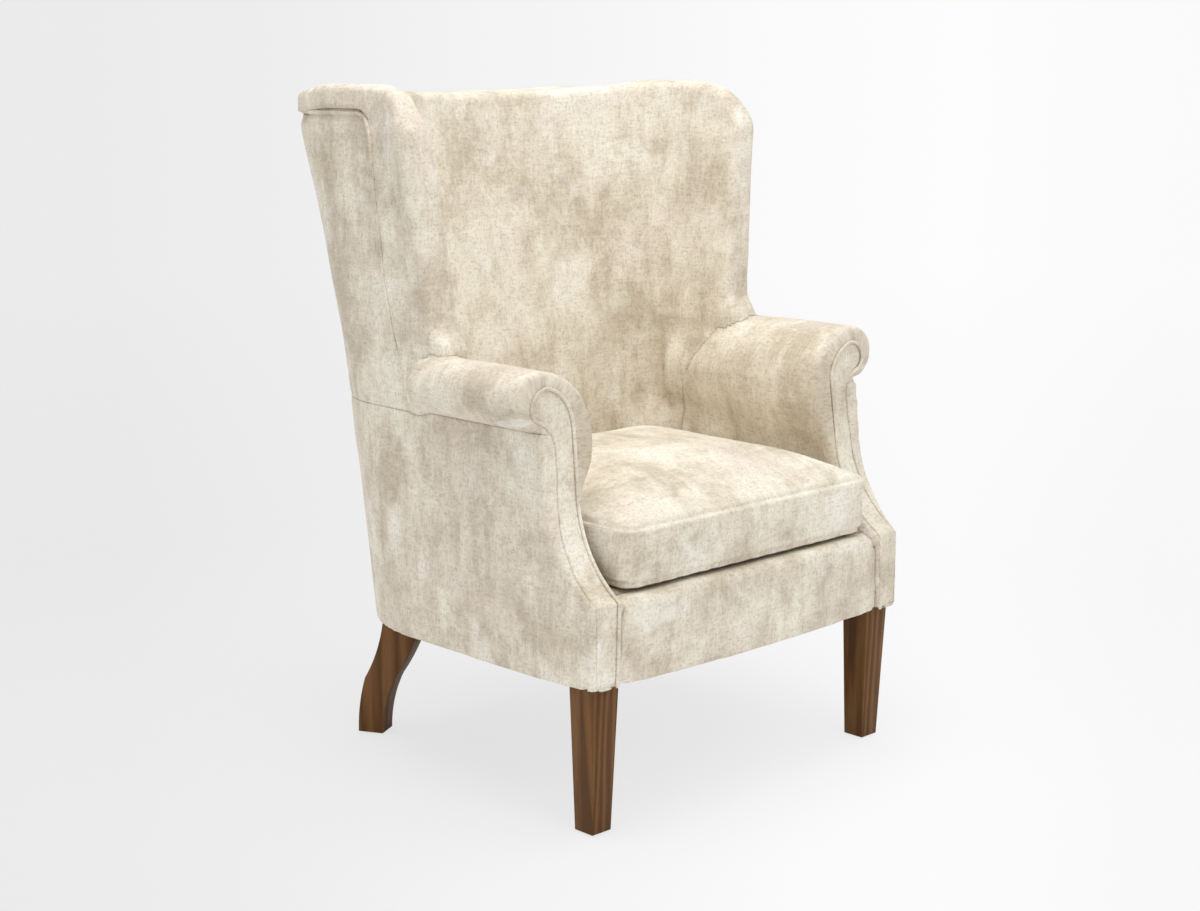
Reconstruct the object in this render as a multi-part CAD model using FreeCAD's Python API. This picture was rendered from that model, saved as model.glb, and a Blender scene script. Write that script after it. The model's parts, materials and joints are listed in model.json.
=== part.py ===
"""Upholstered wing armchair with scroll arms and a loose seat cushion.

Millimetres, +Z up, the chair faces -Y and left is -X. The origin is on the floor, below
the middle of the chair's overall box. Depths are given back from the plane of the arm
facings, and facing_y puts that plane in the chair's own frame.
"""
import FreeCAD, Part
import math
import os

V = FreeCAD.Vector

# Overall sizes
overall_depth = 722.0
front_bow = 12.0
leg_height = 215.0
arm_height = 641.0
wing_height = 1020.0
crest_height = 998.0

# Outside of the body, seen from above
body_half_width = 337.0
front_half_width = 326.0
front_taper_depth = 130.0
outer_corner_base = 220.0
outer_corner_arm = 195.0
outer_corner_top = 90.0
corner_power = 1.3
outer_rear_arc = 1200.0
rear_depth_base = 612.0
rear_depth_arm = 650.0

# Wings, seen from above
wing_seam_height = 553.0
wing_sight_depth = 350.0
wing_mid_depth = 450.0
wing_flare_depth = 430.0
wing_outer_low = 332.0
wing_outer_top = 368.0
wing_mid_outer = 337.0
flare_power = 2.5
border_proud = 8.0

# Sitting space, seen from above
seat_half_width = 268.0
inner_corner_seat = 70.0
inner_corner_arm = 110.0
inner_corner_top = 165.0
inner_arc_seat = 2600.0
inner_arc_arm = 1400.0
inner_arc_top = 700.0
inner_depth_seat = 490.0
inner_depth_arm = 512.0
inner_depth_top = 588.0
wing_inner_low = 268.0
wing_inner_top = 326.0
wing_mid_inner_low = 264.0
wing_mid_inner_top = 300.0
flare_height = 600.0

# Layers
panel_thick = 5.0
cover_thick = 4.0
wing_pad = 16.0
back_pad = 44.0
wing_roll = 26.0
top_roll = 26.0
arm_pad = 14.0
layer_gap = 0.3
overrun = 60.0

# Side view of the wing and of the seam between arm and back
seam_foot_depth, seam_foot_height = 443.0, 440.0
seam_mid_depth, seam_mid_height = 368.0, 585.0
seam_toe_depth, seam_toe_height = 290.0, 644.0
wing_toe_depth, wing_toe_height = 322.0, 672.0
wing_front_depth = 335.0
wing_front_height = 936.0
wing_corner_radius = 84.0
roll_end_depth = 330.0
wing_foot_inner = 300.0
front_wrap = 22.0

# Side view of the outside wing panel
recess_low_depth = 373.0
recess_mid_depth, recess_mid_height = 417.0, 745.0
recess_high_depth, recess_high_height = 434.0, 925.0
recess_corner_radius = 42.0
top_seam_height = 975.0
back_seam_half_width = 288.0

# Arm, seen from the front
arm_inner = 233.0
arm_swell_height = 430.0
roll_centre_x, roll_centre_z = 336.0, 600.0
shoulder_radius = 97.0
edge_radius = 14.0
arm_edge_radius = 12.0

# Front line of the arm, side view
shoulder_height = 333.0
sweep_mid_depth, sweep_mid_height = 61.0, 392.0
sweep_top_depth, sweep_top_height = 86.0, 470.0
scroll_depth = 99.0
scroll_height = 575.0

# Facing outline, seen from the front
facing_inner, facing_outer = 280.0, 323.0
facing_neck_inner, facing_neck_outer = 274.0, 308.0
facing_neck_height = 533.0
scroll_inner_height = 556.0
scroll_inner_mid = (284.0, 594.0)
scroll_top = (320.0, 619.0)
scroll_outer_mid = (344.0, 608.0)
scroll_outer = (350.0, 594.0)
scroll_under_mid = (346.0, 580.0)
scroll_under = (335.0, 573.0)
neck_mid = (318.0, 560.0)
welt_width = 5.0
welt_proud = 3.0
facing_proud = 1.2
facing_thick = 5.0

# Seat
deck_top = 340.0
deck_thick = 22.0
border_top = 338.0
border_corner_top = 304.0
border_pad = 16.0
border_depth = 28.0
border_corner_width = 30.0
border_edge_radius = 15.0

# Wood frame
rail_thick = 26.0
rail_height = 96.0
post_turn = 28.4
post_deep = 62.0
arm_post_inner, arm_post_outer = 285.0, 319.0
arm_post_depth = 62.0
arm_rail_low, arm_rail_high = 574.0, 606.0
arm_rail_inner, arm_rail_outer = 296.0, 325.0
wing_post_width = 32.0
crest_low, crest_high = 915.0, 960.0
lumbar_low, lumbar_high = 372.0, 412.0
block_leg = 60.0
block_low, block_high = 240.0, 280.0

# Legs
front_leg_top = 48.0
front_foot = 35.4
front_leg_outer_top, front_leg_outer_foot = 318.0, 311.6
front_leg_depth_top, front_leg_depth_foot = 12.0, 20.8
rear_leg_thick = 38.2
rear_foot_x, rear_foot_depth = 253.0, 561.0
rear_foot_length = 41.6
rear_leg_back = [(37.7, 53.0), (28.8, 92.0), (10.2, 131.0)]
rear_leg_front = [(-6.4, 53.0), (-22.0, 95.0), (-41.0, 126.0), (-57.0, 160.0)]
rear_leg_back_top = -6.0
rear_leg_front_top = -72.0
glide_radius, glide_height = 11.0, 2.5
bolt_radius, bolt_up, bolt_down = 4.0, 38.0, 45.0
dowel_radius, dowel_length = 4.5, 40.0
dowel_heights = [264.0, 292.0]
dust_inset, dust_thick = 14.0, 1.5

# Springs and webbing
spring_count = 5
spring_wire = 1.9
spring_pitch = 26.0
spring_half_width = 24.0
spring_spacing = 82.0
spring_front = 36.0
clip_width, clip_depth, clip_thick, clip_room = 16.0, 8.0, 1.2, 0.1
web_count = 3
web_width, web_thick = 50.0, 2.0
web_spacing = 112.0

# Seat cushion
cushion_half_width = 263.0
cushion_front, cushion_rear = -1.0, 479.0
cushion_front_corner = 34.0
cushion_rear_corner = 62.0
cushion_low_seam, cushion_high_seam = 349.0, 427.0
cushion_crown = 74.0
cushion_belly = 4.0
cushion_drawn = 5.0
cushion_cover_thick = 3.0
crown_shares = [0.97, 0.90, 0.79, 0.63, 0.42, 0.18]
crown_power = 2.7
zip_length = 300.0
zip_groove_height, zip_groove_depth = 16.0, 9.0
zip_tape_thick, zip_coil_thick, zip_coil_height = 1.0, 1.6, 5.0
slider_length, slider_height, slider_thick = 11.0, 9.0, 2.4
pull_length, pull_height = 20.0, 5.0

facing_y = front_bow - overall_depth / 2


def at(x, depth, z):
    """Point given by its depth back from the facings."""
    return V(x, facing_y + depth, z)


def lerp(low, high, share):
    return low + (high - low) * share


def between(z, z_low, z_high, low, high):
    return lerp(low, high, (z - z_low) / (z_high - z_low))


def line(a, b):
    return Part.LineSegment(a, b).toShape()


def arc(a, mid, b):
    return Part.Arc(a, mid, b).toShape()


def bowed(a, pull, b):
    """Soft curve from a to b, drawn towards the place pull."""
    curve = Part.BezierCurve()
    curve.setPoles([a, pull, b])
    return curve.toShape()


def loft(wires, smooth=True):
    return Part.makeLoft(wires, True, not smooth)


def without(shape, tools):
    for tool in tools:
        shape = shape.cut(tool)
    return shape


def mirrored(shape):
    return shape.mirror(V(0, 0, 0), V(1, 0, 0))


def box(x0, x1, depth0, depth1, z0, z1):
    corner = at(x0, depth0, z0)
    return Part.makeBox(x1 - x0, depth1 - depth0, z1 - z0, corner)


def cylinder(radius, height, base, axis):
    return Part.makeCylinder(radius, height, base, axis)


def across(edges, half_width):
    """Side-view outline carried across the whole width."""
    wire = Part.Wire(edges)
    wire.translate(V(-half_width, 0, 0))
    return Part.Face(wire).extrude(V(2 * half_width, 0, 0))


def oval_plan(z, sides, corner, rear_arc, rear, side_inset=0.0, rear_inset=0.0, front=0.0,
              taper=None):
    """Closed outline at height z: flat front, a line through two side places, round rear corners
    and an arched rear. Insets move the sides and the rear inwards. A taper is the half width at
    the front and the depth at which the sides have bowed out, or in, to their own line."""
    (xa, ya), (xb, yb) = sides
    run = math.hypot(xb - xa, yb - ya)
    ux, uy = (xb - xa) / run, (yb - ya) / run
    nx, ny = -uy, ux
    ax, ay = xa + nx * side_inset, ya + ny * side_inset
    small = corner - (side_inset + rear_inset) / 2
    large = rear_arc - rear_inset
    centre_y = rear - rear_inset - large
    px, py = ax + nx * small, ay + ny * small - centre_y
    b = px * ux + py * uy
    c = px * px + py * py - (large - small) ** 2
    t = -b + math.sqrt(b * b - c)
    tangent = (ax + ux * t, ay + uy * t)
    cx, cy = tangent[0] + nx * small, tangent[1] + ny * small
    reach = math.hypot(cx, cy - centre_y)
    ox, oy = cx / reach, (cy - centre_y) / reach
    joint = (ox * large, centre_y + oy * large)
    mx, my = ox - nx, oy - ny
    half = math.hypot(mx, my)
    mid = (cx + mx / half * small, cy + my / half * small)
    start = (ax + ux * (front - ay) / uy, front)
    right = [at(x, y, z) for x, y in (start, tangent, mid, joint)]
    left = [at(-x, y, z) for x, y in (start, tangent, mid, joint)]
    crown = at(0, rear - rear_inset, z)
    if taper:
        narrow, depth = taper
        front_right, front_left = at(narrow - side_inset, front, z), at(side_inset - narrow, front, z)
        full_right, full_left = at(ax, depth, z), at(-ax, depth, z)
        bend = (front + depth) / 2
        right_side = [bowed(front_right, at(ax, bend, z), full_right), line(full_right, right[1])]
        left_side = [line(left[1], full_left), bowed(full_left, at(-ax, bend, z), front_left)]
    else:
        front_right, front_left = right[0], left[0]
        right_side, left_side = [line(right[0], right[1])], [line(left[1], left[0])]
    return Part.Wire([line(front_left, front_right)] + right_side +
                     [arc(right[1], right[2], right[3]), arc(right[3], crown, left[3]),
                      arc(left[3], left[2], left[1])] + left_side)


def outer_rear(z):
    if z <= wing_seam_height:
        return between(z, leg_height, wing_seam_height, rear_depth_base, rear_depth_arm)
    rear_depth_top = overall_depth - front_bow - border_proud
    return between(z, wing_seam_height, crest_height - edge_radius, rear_depth_arm, rear_depth_top)


def wing_share(z):
    return max(0.0, (z - wing_seam_height) / (wing_height - wing_seam_height))


def outer_corner(z):
    if z <= wing_seam_height:
        return between(z, leg_height, wing_seam_height, outer_corner_base, outer_corner_arm)
    return lerp(outer_corner_arm, outer_corner_top, wing_share(z) ** corner_power)


def low_plan(z, inset):
    sides = ((body_half_width, 0.0), (body_half_width, wing_mid_depth))
    return oval_plan(z, sides, outer_corner(z), outer_rear_arc, outer_rear(z), inset, inset, 0.0,
                     (front_half_width, front_taper_depth))


def low_outer(inset, z0=leg_height, z1=wing_seam_height):
    """Body below the wings, inset from the outside of its panels."""
    return loft([low_plan(z0, inset), low_plan((z0 + z1) / 2, inset), low_plan(z1, inset)])


def high_plan(z, inset):
    near = lerp(wing_outer_low, wing_outer_top, wing_share(z) ** flare_power)
    sides = ((wing_mid_outer, 0.0), (wing_mid_outer, wing_flare_depth))
    front = seam_toe_depth - overrun
    share = (wing_flare_depth - wing_sight_depth) / (wing_flare_depth - front)
    widest = wing_mid_outer + (near - wing_mid_outer) / share ** 2
    return oval_plan(z, sides, outer_corner(z), outer_rear_arc, outer_rear(z), inset, inset, front,
                     (widest, wing_flare_depth))


def high_outer(inset, z0=wing_seam_height, z1=wing_height + top_roll):
    """Body at the wings, inset from the outside of its panels."""
    return loft([high_plan(lerp(z0, z1, share), inset) for share in (0, 0.3, 0.55, 0.8, 1)])


def inner_plan(z, side_inset, rear_inset):
    """Outline of the sitting space; negative insets go into the padding."""
    flare = max(0.0, (z - flare_height) / (wing_height - flare_height))
    near = lerp(wing_inner_low, wing_inner_top, flare)
    middle = lerp(wing_mid_inner_low, wing_mid_inner_top, flare)
    if z <= flare_height:
        rear = between(z, deck_top, flare_height, inner_depth_seat, inner_depth_arm)
        corner = between(z, deck_top, flare_height, inner_corner_seat, inner_corner_arm)
        bow = between(z, deck_top, flare_height, inner_arc_seat, inner_arc_arm)
    else:
        rear = between(z, flare_height, wing_height, inner_depth_arm, inner_depth_top)
        corner = between(z, flare_height, wing_height, inner_corner_arm, inner_corner_top)
        bow = between(z, flare_height, wing_height, inner_arc_arm, inner_arc_top)
    sides = ((near, wing_sight_depth), (middle, wing_mid_depth))
    return oval_plan(z, sides, corner, bow, rear, side_inset, rear_inset, -overrun)


def inner_space(side_inset=0.0, rear_inset=0.0, z0=deck_top - deck_thick, z1=wing_height + 2 * top_roll):
    low = loft([inner_plan(lerp(z0, flare_height, share), side_inset, rear_inset)
                for share in (0, 1)], False)
    high = loft([inner_plan(lerp(flare_height, z1, share), side_inset, rear_inset)
                 for share in (0, 1)], False)
    return low.fuse(high).removeSplitter()


def wing_profile(back=0.0, down=0.0):
    """Everything behind the front line of the wings and the seam between arm and back."""
    top = wing_height - down
    foot = at(0, seam_foot_depth + back, seam_foot_height)
    toe = at(0, seam_toe_depth + back, seam_toe_height)
    shin = at(0, wing_toe_depth + back, wing_toe_height)
    brow = at(0, wing_front_depth + back, wing_front_height - down)
    turn = wing_corner_radius * (1 - math.sqrt(0.5))
    cheek = at(0, wing_front_depth + back + turn, top - turn)
    crown = at(0, wing_front_depth + back + wing_corner_radius, top)
    bottom = deck_top - deck_thick
    edges = [line(at(0, seam_foot_depth + back, bottom), foot),
             arc(foot, at(0, seam_mid_depth + back, seam_mid_height), toe),
             line(toe, shin), line(shin, brow), arc(brow, cheek, crown),
             line(crown, at(0, overall_depth + overrun, top)),
             line(at(0, overall_depth + overrun, top), at(0, overall_depth + overrun, bottom)),
             line(at(0, overall_depth + overrun, bottom), at(0, seam_foot_depth + back, bottom))]
    return across(edges, body_half_width + overrun)


def crest_cap(down=0.0):
    """Everything below the dipped top line of the back."""
    side = body_half_width + overrun
    left = V(-side, facing_y, wing_height - down)
    right = V(side, facing_y, wing_height - down)
    low_left, low_right = V(-side, facing_y, 0), V(side, facing_y, 0)
    wire = Part.Wire([arc(left, V(0, facing_y, crest_height - down), right),
                      line(right, low_right), line(low_right, low_left), line(low_left, left)])
    return Part.Face(wire).extrude(V(0, overall_depth + overrun, 0))


def recess_profile(inwards=0.0):
    """Side view of the outside wing panel and of the outside back above it."""
    low = at(0, recess_low_depth + inwards, wing_seam_height)
    mid = at(0, recess_mid_depth + inwards, recess_mid_height)
    radius = recess_corner_radius - inwards
    top = top_seam_height - inwards
    bend = at(0, recess_high_depth + inwards, top - radius)
    turn = radius * (1 - math.sqrt(0.5))
    corner = at(0, recess_high_depth + inwards + turn, top - turn)
    crown = at(0, recess_high_depth + inwards + radius, top)
    far = overall_depth + overrun
    edges = [line(low, mid), line(mid, bend), arc(bend, corner, crown), line(crown, at(0, far, top)),
             line(at(0, far, top), at(0, far, wing_seam_height)),
             line(at(0, far, wing_seam_height), low)]
    return across(edges, body_half_width + overrun)


def arm_front(back=0.0):
    """Everything behind the swept front line of the arm."""
    start = at(0, back, leg_height - overrun)
    shoulder = at(0, back, shoulder_height)
    sweep_mid = at(0, sweep_mid_depth + back, sweep_mid_height)
    sweep_top = at(0, sweep_top_depth + back, sweep_top_height)
    scroll = at(0, scroll_depth + back, scroll_height)
    top = at(0, scroll_depth + back, arm_height + overrun)
    far = overall_depth + overrun
    edges = [line(start, shoulder), arc(shoulder, sweep_mid, sweep_top), line(sweep_top, scroll),
             line(scroll, top), line(top, at(0, far, arm_height + overrun)),
             line(at(0, far, arm_height + overrun), at(0, far, leg_height - overrun)),
             line(at(0, far, leg_height - overrun), start)]
    return across(edges, body_half_width + overrun)


def arm_section(inset=0.0):
    """Cross-section of the right arm: inside face, rounded shoulder, top and outer roll."""
    bottom = leg_height - inset
    low, inner = seat_half_width + inset, arm_inner + inset
    low_inner = facing_inner
    step = deck_top - deck_thick
    roll = arm_height - roll_centre_z - inset
    shoulder = shoulder_radius - inset
    top = arm_height - inset
    outer = body_half_width - panel_thick
    turn = shoulder * (1 - math.sqrt(0.5))

    def p(x, z):
        return at(x, 0, z)

    neck_z = roll_centre_z - math.sqrt(roll ** 2 - (roll_centre_x - outer) ** 2)
    swell_mid = (arm_swell_height + top - shoulder) / 2
    swell = Part.BezierCurve()
    swell.setPoles([p(low, arm_swell_height), p(low, swell_mid),
                    p(inner, swell_mid), p(inner, top - shoulder)])
    edges = [line(p(outer, bottom), p(low_inner, bottom)), line(p(low_inner, bottom), p(low_inner, step)),
             line(p(low_inner, step), p(low, step)), line(p(low, step), p(low, arm_swell_height)),
             swell.toShape(),
             arc(p(inner, top - shoulder), p(inner + turn, top - turn), p(inner + shoulder, top)),
             line(p(inner + shoulder, top), p(roll_centre_x, top)),
             arc(p(roll_centre_x, top), p(roll_centre_x + roll, roll_centre_z),
                 p(roll_centre_x, roll_centre_z - roll)),
             arc(p(roll_centre_x, roll_centre_z - roll),
                 p((roll_centre_x + outer) / 2,
                   roll_centre_z - math.sqrt(roll ** 2 - ((roll_centre_x - outer) / 2) ** 2)),
                 p(outer, neck_z)),
             line(p(outer, neck_z), p(outer, bottom))]
    return Part.Wire(edges)


def facing_outline():
    """Outline of the right arm facing with its scroll head."""
    def p(place):
        return at(place[0], 0, place[1])

    foot_inner, foot_outer = (facing_inner, leg_height), (facing_outer, leg_height)
    neck_inner = (facing_neck_inner, scroll_inner_height)
    knee_outer = (facing_outer, shoulder_height)
    neck_outer = (facing_neck_outer, facing_neck_height)
    edges = [line(p(foot_outer), p(foot_inner)), line(p(foot_inner), p(neck_inner)),
             arc(p(neck_inner), p(scroll_inner_mid), p(scroll_top)),
             arc(p(scroll_top), p(scroll_outer_mid), p(scroll_outer)),
             arc(p(scroll_outer), p(scroll_under_mid), p(scroll_under)),
             arc(p(scroll_under), p(neck_mid), p(neck_outer)),
             line(p(neck_outer), p(knee_outer)), line(p(knee_outer), p(foot_outer))]
    return Part.Wire(edges)


def through(wire, front=-overrun, length=seam_foot_depth + 2 * overrun):
    """Front-view outline carried back through the chair."""
    shape = Part.Face(wire)
    shape.translate(V(0, front, 0))
    return shape.extrude(V(0, length, 0))


def rounded(shape, guides, radius, above):
    """Rounds the edges of a form that lie on the guide faces and above a height."""
    def on_guides(point):
        vertex = Part.Vertex(point)
        return min(face.distToShape(vertex)[0] for face in guides) < layer_gap / 10

    chosen = []
    for edge in shape.Edges:
        first, last = edge.FirstParameter, edge.LastParameter
        places = [edge.valueAt(lerp(first, last, share)) for share in (0.1, 0.5, 0.9)]
        if edge.BoundBox.ZMin > above - layer_gap and all(on_guides(place) for place in places):
            chosen.append(edge)
    return shape.makeFillet(radius, chosen)


def back_form(inset, outset):
    """Inside back and wings as one form, inset by a number of layers."""
    ring = high_outer(outset).fuse(low_outer(max(outset, panel_thick))).cut(inner_space(-inset, -inset))
    profile = wing_profile(inset, inset)
    cap = crest_cap(inset)
    guides = [face for face in profile.Faces if face.BoundBox.ZMin > seam_toe_height - layer_gap
              and face.BoundBox.YMax < facing_y + wing_mid_depth]
    guides += [face for face in cap.Faces if face.BoundBox.ZMin > wing_seam_height]
    form = rounded(ring.common(profile).common(cap), guides, edge_radius - inset, seam_toe_height)
    foot = box(wing_foot_inner + inset, body_half_width + overrun, roll_end_depth + inset,
               seam_foot_depth, wing_seam_height, wing_toe_height - edge_radius)
    foot = foot.common(high_outer(outset))
    return form.fuse(foot).fuse(mirrored(foot)).removeSplitter()


def arm_form(inset, radius=0.0):
    """Right arm as one form, inset by a number of layers, with its front edge rounded."""
    curve = arm_front(inset)
    form = through(arm_section(inset)).common(curve)
    guides = [face for face in curve.Faces if face.BoundBox.YMax < facing_y + wing_sight_depth]
    if radius:
        form = rounded(form, guides, radius, facing_neck_height)
    room = box(seat_half_width, body_half_width + overrun, -overrun, 2 * front_taper_depth,
               leg_height - overrun, wing_seam_height - panel_thick)
    form = form.cut(room.cut(low_outer(0.0, leg_height - overrun)))
    return form.cut(box(wing_foot_inner - inset, body_half_width + overrun, roll_end_depth - inset,
                        overall_depth, wing_seam_height - panel_thick - inset, arm_height))


def export(name, shape):
    solids = [s for s in shape.Solids if s.Volume > layer_gap * panel_thick ** 2]
    result = solids[0] if len(solids) == 1 else Part.makeCompound(solids)
    result.exportStep(os.path.join("parts", name + ".step"))
    print(name, len(solids), round(result.Volume / 1000), result.isValid())


def export_pair(name, right):
    export(name + "_right", right)
    export(name + "_left", mirrored(right))


def leg_place(along, aside=0.0):
    """Place on the turned plane of the right rear leg, along it from the foot's outer corner."""
    turn = math.radians(post_turn)
    x = rear_foot_x + math.sin(turn) * along - math.cos(turn) * aside
    depth = rear_foot_depth + math.cos(turn) * along + math.sin(turn) * aside
    return x, depth


def turned_slab(along0, along1, z0, z1):
    """Upright board on the turned plane of the right rear leg."""
    corners = [leg_place(along0), leg_place(along1),
               leg_place(along1, rear_leg_thick), leg_place(along0, rear_leg_thick)]
    points = [at(x, depth, z0) for x, depth in corners]
    return Part.Face(Part.makePolygon(points + points[:1])).extrude(V(0, 0, z1 - z0))


def tapered_leg(top_corner, top_size, foot_corner, foot_size):
    """Right front leg from its outer front corners."""
    def square(corner, size, z):
        x, depth = corner
        points = [at(x, depth, z), at(x, depth + size, z), at(x - size, depth + size, z),
                  at(x - size, depth, z)]
        return Part.makePolygon(points + points[:1])

    return loft([square(foot_corner, foot_size, glide_height), square(top_corner, top_size, leg_height)],
                False)


def sabre_leg():
    """Right rear leg, sawn from a board and swept back."""
    def p(place):
        x, depth = leg_place(place[0])
        return at(x, depth, place[1])

    toe, heel = (0.0, glide_height), (rear_foot_length, glide_height)
    top_back, top_front = (rear_leg_back_top, leg_height), (rear_leg_front_top, leg_height)
    ankle, calf, knee = rear_leg_back
    shin_low, shin_mid, shin_high, shin_top = rear_leg_front
    edges = [line(p(toe), p(heel)), arc(p(heel), p(ankle), p(calf)), arc(p(calf), p(knee), p(top_back)),
             line(p(top_back), p(top_front)), line(p(top_front), p(shin_top)),
             arc(p(shin_top), p(shin_high), p(shin_mid)), arc(p(shin_mid), p(shin_low), p(toe))]
    turn = math.radians(post_turn)
    side = V(-math.cos(turn) * rear_leg_thick, math.sin(turn) * rear_leg_thick, 0)
    return Part.Face(Part.Wire(edges)).extrude(side)


def cushion_plan(share, z, inset=0.0):
    """Cushion outline scaled about its middle."""
    half = (cushion_half_width - inset) * share
    mid = (cushion_front + cushion_rear) / 2
    front = mid + (cushion_front + inset - mid) * share
    rear = mid + (cushion_rear - inset - mid) * share
    near, far = (cushion_front_corner - inset) * share, (cushion_rear_corner - inset) * share
    turn = 1 - math.sqrt(0.5)

    def p(x, depth):
        return at(x, depth, z)

    return Part.Wire([
        line(p(near - half, front), p(half - near, front)),
        arc(p(half - near, front), p(half - near * turn, front + near * turn), p(half, front + near)),
        line(p(half, front + near), p(half, rear - far)),
        arc(p(half, rear - far), p(half - far * turn, rear - far * turn), p(half - far, rear)),
        line(p(half - far, rear), p(far - half, rear)),
        arc(p(far - half, rear), p(far * turn - half, rear - far * turn), p(-half, rear - far)),
        line(p(-half, rear - far), p(-half, front + near)),
        arc(p(-half, front + near), p(near * turn - half, front + near * turn), p(near - half, front))])


def cushion_form(inset=0.0):
    """Box cushion with drawn-in seams and a high crown."""
    base = deck_top + layer_gap + inset
    waist = (cushion_low_seam + cushion_high_seam) / 2
    drawn = cushion_drawn + inset
    bottom = loft([cushion_plan(1, base, 2 * cushion_drawn + inset),
                   cushion_plan(1, cushion_low_seam, drawn)], False)
    boxing = loft([cushion_plan(1, cushion_low_seam, drawn), cushion_plan(1, waist, inset + cushion_drawn
                                                                         - cushion_belly),
                   cushion_plan(1, cushion_high_seam, drawn)])
    crown_sections = [cushion_plan(1, cushion_high_seam, drawn)]
    for share in crown_shares:
        rise = (cushion_crown - inset) * (1 - share ** crown_power)
        crown_sections.append(cushion_plan(share, cushion_high_seam + rise, drawn))
    crown = loft(crown_sections)
    return bottom.fuse([boxing, crown]).removeSplitter()


def spring_rear(x):
    """Depth of the middle of the rear seat rail beside the middle line."""
    rear = outer_rear(leg_height + rail_height) - panel_thick - rail_thick / 2
    return rear - outer_rear_arc + math.sqrt(outer_rear_arc ** 2 - x ** 2)


def sinuous_spring(x):
    """Zigzag spring wire run from the front to the rear seat rail."""
    z = leg_height + rail_height + clip_thick + clip_room + spring_wire
    turns = int(2 * (spring_rear(x) - spring_front) / spring_pitch)
    radius = (spring_rear(x) - spring_front) / (2 * turns)
    reach = spring_half_width - radius - spring_wire
    edges = [line(at(x - reach, spring_front, z), at(x + reach, spring_front, z))]
    side, depth = 1, spring_front
    for _ in range(turns):
        edges.append(arc(at(x + side * reach, depth, z), at(x + side * (reach + radius), depth + radius, z),
                         at(x + side * reach, depth + 2 * radius, z)))
        depth += 2 * radius
        edges.append(line(at(x + side * reach, depth, z), at(x - side * reach, depth, z)))
        side = -side
    ring = Part.Wire([Part.makeCircle(spring_wire, at(x - reach, spring_front, z), V(1, 0, 0))])
    return Part.Wire(edges).makePipeShell([ring], True, False)


def spring_clip(x, depth, facing):
    """Folded clip that holds the end bar of a spring down on its rail."""
    z0 = leg_height + rail_height
    high = 2 * clip_thick + 2 * clip_room + 2 * spring_wire
    back = spring_wire + clip_room + clip_thick
    near, far = sorted((-back * facing, (clip_depth - back) * facing))
    inner_near, inner_far = sorted(((clip_thick - back) * facing, clip_depth * facing))
    half = clip_width / 2
    shell = box(x - half, x + half, depth + near, depth + far, z0, z0 + high)
    return shell.cut(box(x - clip_width, x + clip_width, depth + inner_near, depth + inner_far,
                         z0 + clip_thick, z0 + high - clip_thick))


def front_border():
    """Padded strip over the front rail, bowed forwards, with rounded top corners."""
    def flat(x, depth):
        return at(x, depth, leg_height)

    def upright(x, z):
        return at(x, 0, z)

    plan = Part.Wire([arc(flat(-facing_inner, 0), flat(0, -front_bow), flat(facing_inner, 0)),
                      line(flat(facing_inner, 0), flat(facing_inner, border_depth)),
                      line(flat(facing_inner, border_depth), flat(-facing_inner, border_depth)),
                      line(flat(-facing_inner, border_depth), flat(-facing_inner, 0))])
    corner_x = facing_inner - border_corner_width
    corner_drop = border_top - border_corner_top
    turn = math.sqrt(0.5)
    bend_x, bend_z = corner_x + border_corner_width * turn, border_top - corner_drop * (1 - turn)

    def corner(side):
        return [upright(side * facing_inner, border_corner_top), upright(side * bend_x, bend_z),
                upright(side * corner_x, border_top)]

    view = Part.Wire([
        line(upright(-facing_inner, leg_height), upright(facing_inner, leg_height)),
        line(upright(facing_inner, leg_height), upright(facing_inner, border_corner_top)),
        arc(*corner(1)), line(upright(corner_x, border_top), upright(-corner_x, border_top)),
        arc(*reversed(corner(-1))),
        line(upright(-facing_inner, border_corner_top), upright(-facing_inner, leg_height))])
    form = Part.Face(plan).extrude(V(0, 0, arm_height - leg_height)).common(through(view))
    guides = [face for face in form.Faces if face.BoundBox.YMax < facing_y + layer_gap]
    form = rounded(form, guides, border_edge_radius, border_corner_top)
    return form.cut(box(-body_half_width, body_half_width, border_pad, overall_depth, leg_height,
                        leg_height + rail_height))


os.makedirs("parts", exist_ok=True)

# Forms that everything else is set against
back_cover_form = back_form(0.0, -border_proud)
back_padding_form = back_form(cover_thick, cover_thick - border_proud)
arm_cover_form = arm_form(0.0, arm_edge_radius)
hollow_high = high_outer(panel_thick)
hollow_low = low_outer(panel_thick)
back_lining = inner_space(-wing_pad, -back_pad)
hollow_front = wing_profile(wing_roll, top_roll)
hollows = [form.cut(back_lining).common(hollow_front).common(crest_cap(top_roll))
           for form in (hollow_high, hollow_low)]
around = high_outer(-2 * border_proud).cut(hollow_high).common(recess_profile())
around_low = low_outer(-2 * border_proud).cut(hollow_low)

# Outside panels and the welts round the wing panels
shell_high = high_outer(0.0).cut(hollow_high).common(recess_profile())
shell_low = low_outer(0.0).cut(hollow_low)
middle = box(-back_seam_half_width, back_seam_half_width, wing_mid_depth, overall_depth + overrun,
             leg_height, wing_height)
right_side = box(back_seam_half_width, body_half_width + overrun, 0, overall_depth, leg_height, wing_height)
outside_arm = shell_low.common(right_side)
front_strip = outside_arm.cut(arm_front(front_wrap))
roll_bottom = 2 * roll_centre_z - arm_height
roll_room = box(0, body_half_width + overrun, 0, overall_depth, roll_bottom, arm_height)
outside_arm = outside_arm.common(arm_front(front_wrap)).cut(arm_cover_form.common(roll_room))
export("outside_back", shell_low.fuse(shell_high).common(middle))
export_pair("outside_arm", outside_arm)
export_pair("outside_wing", shell_high.common(right_side))

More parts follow.
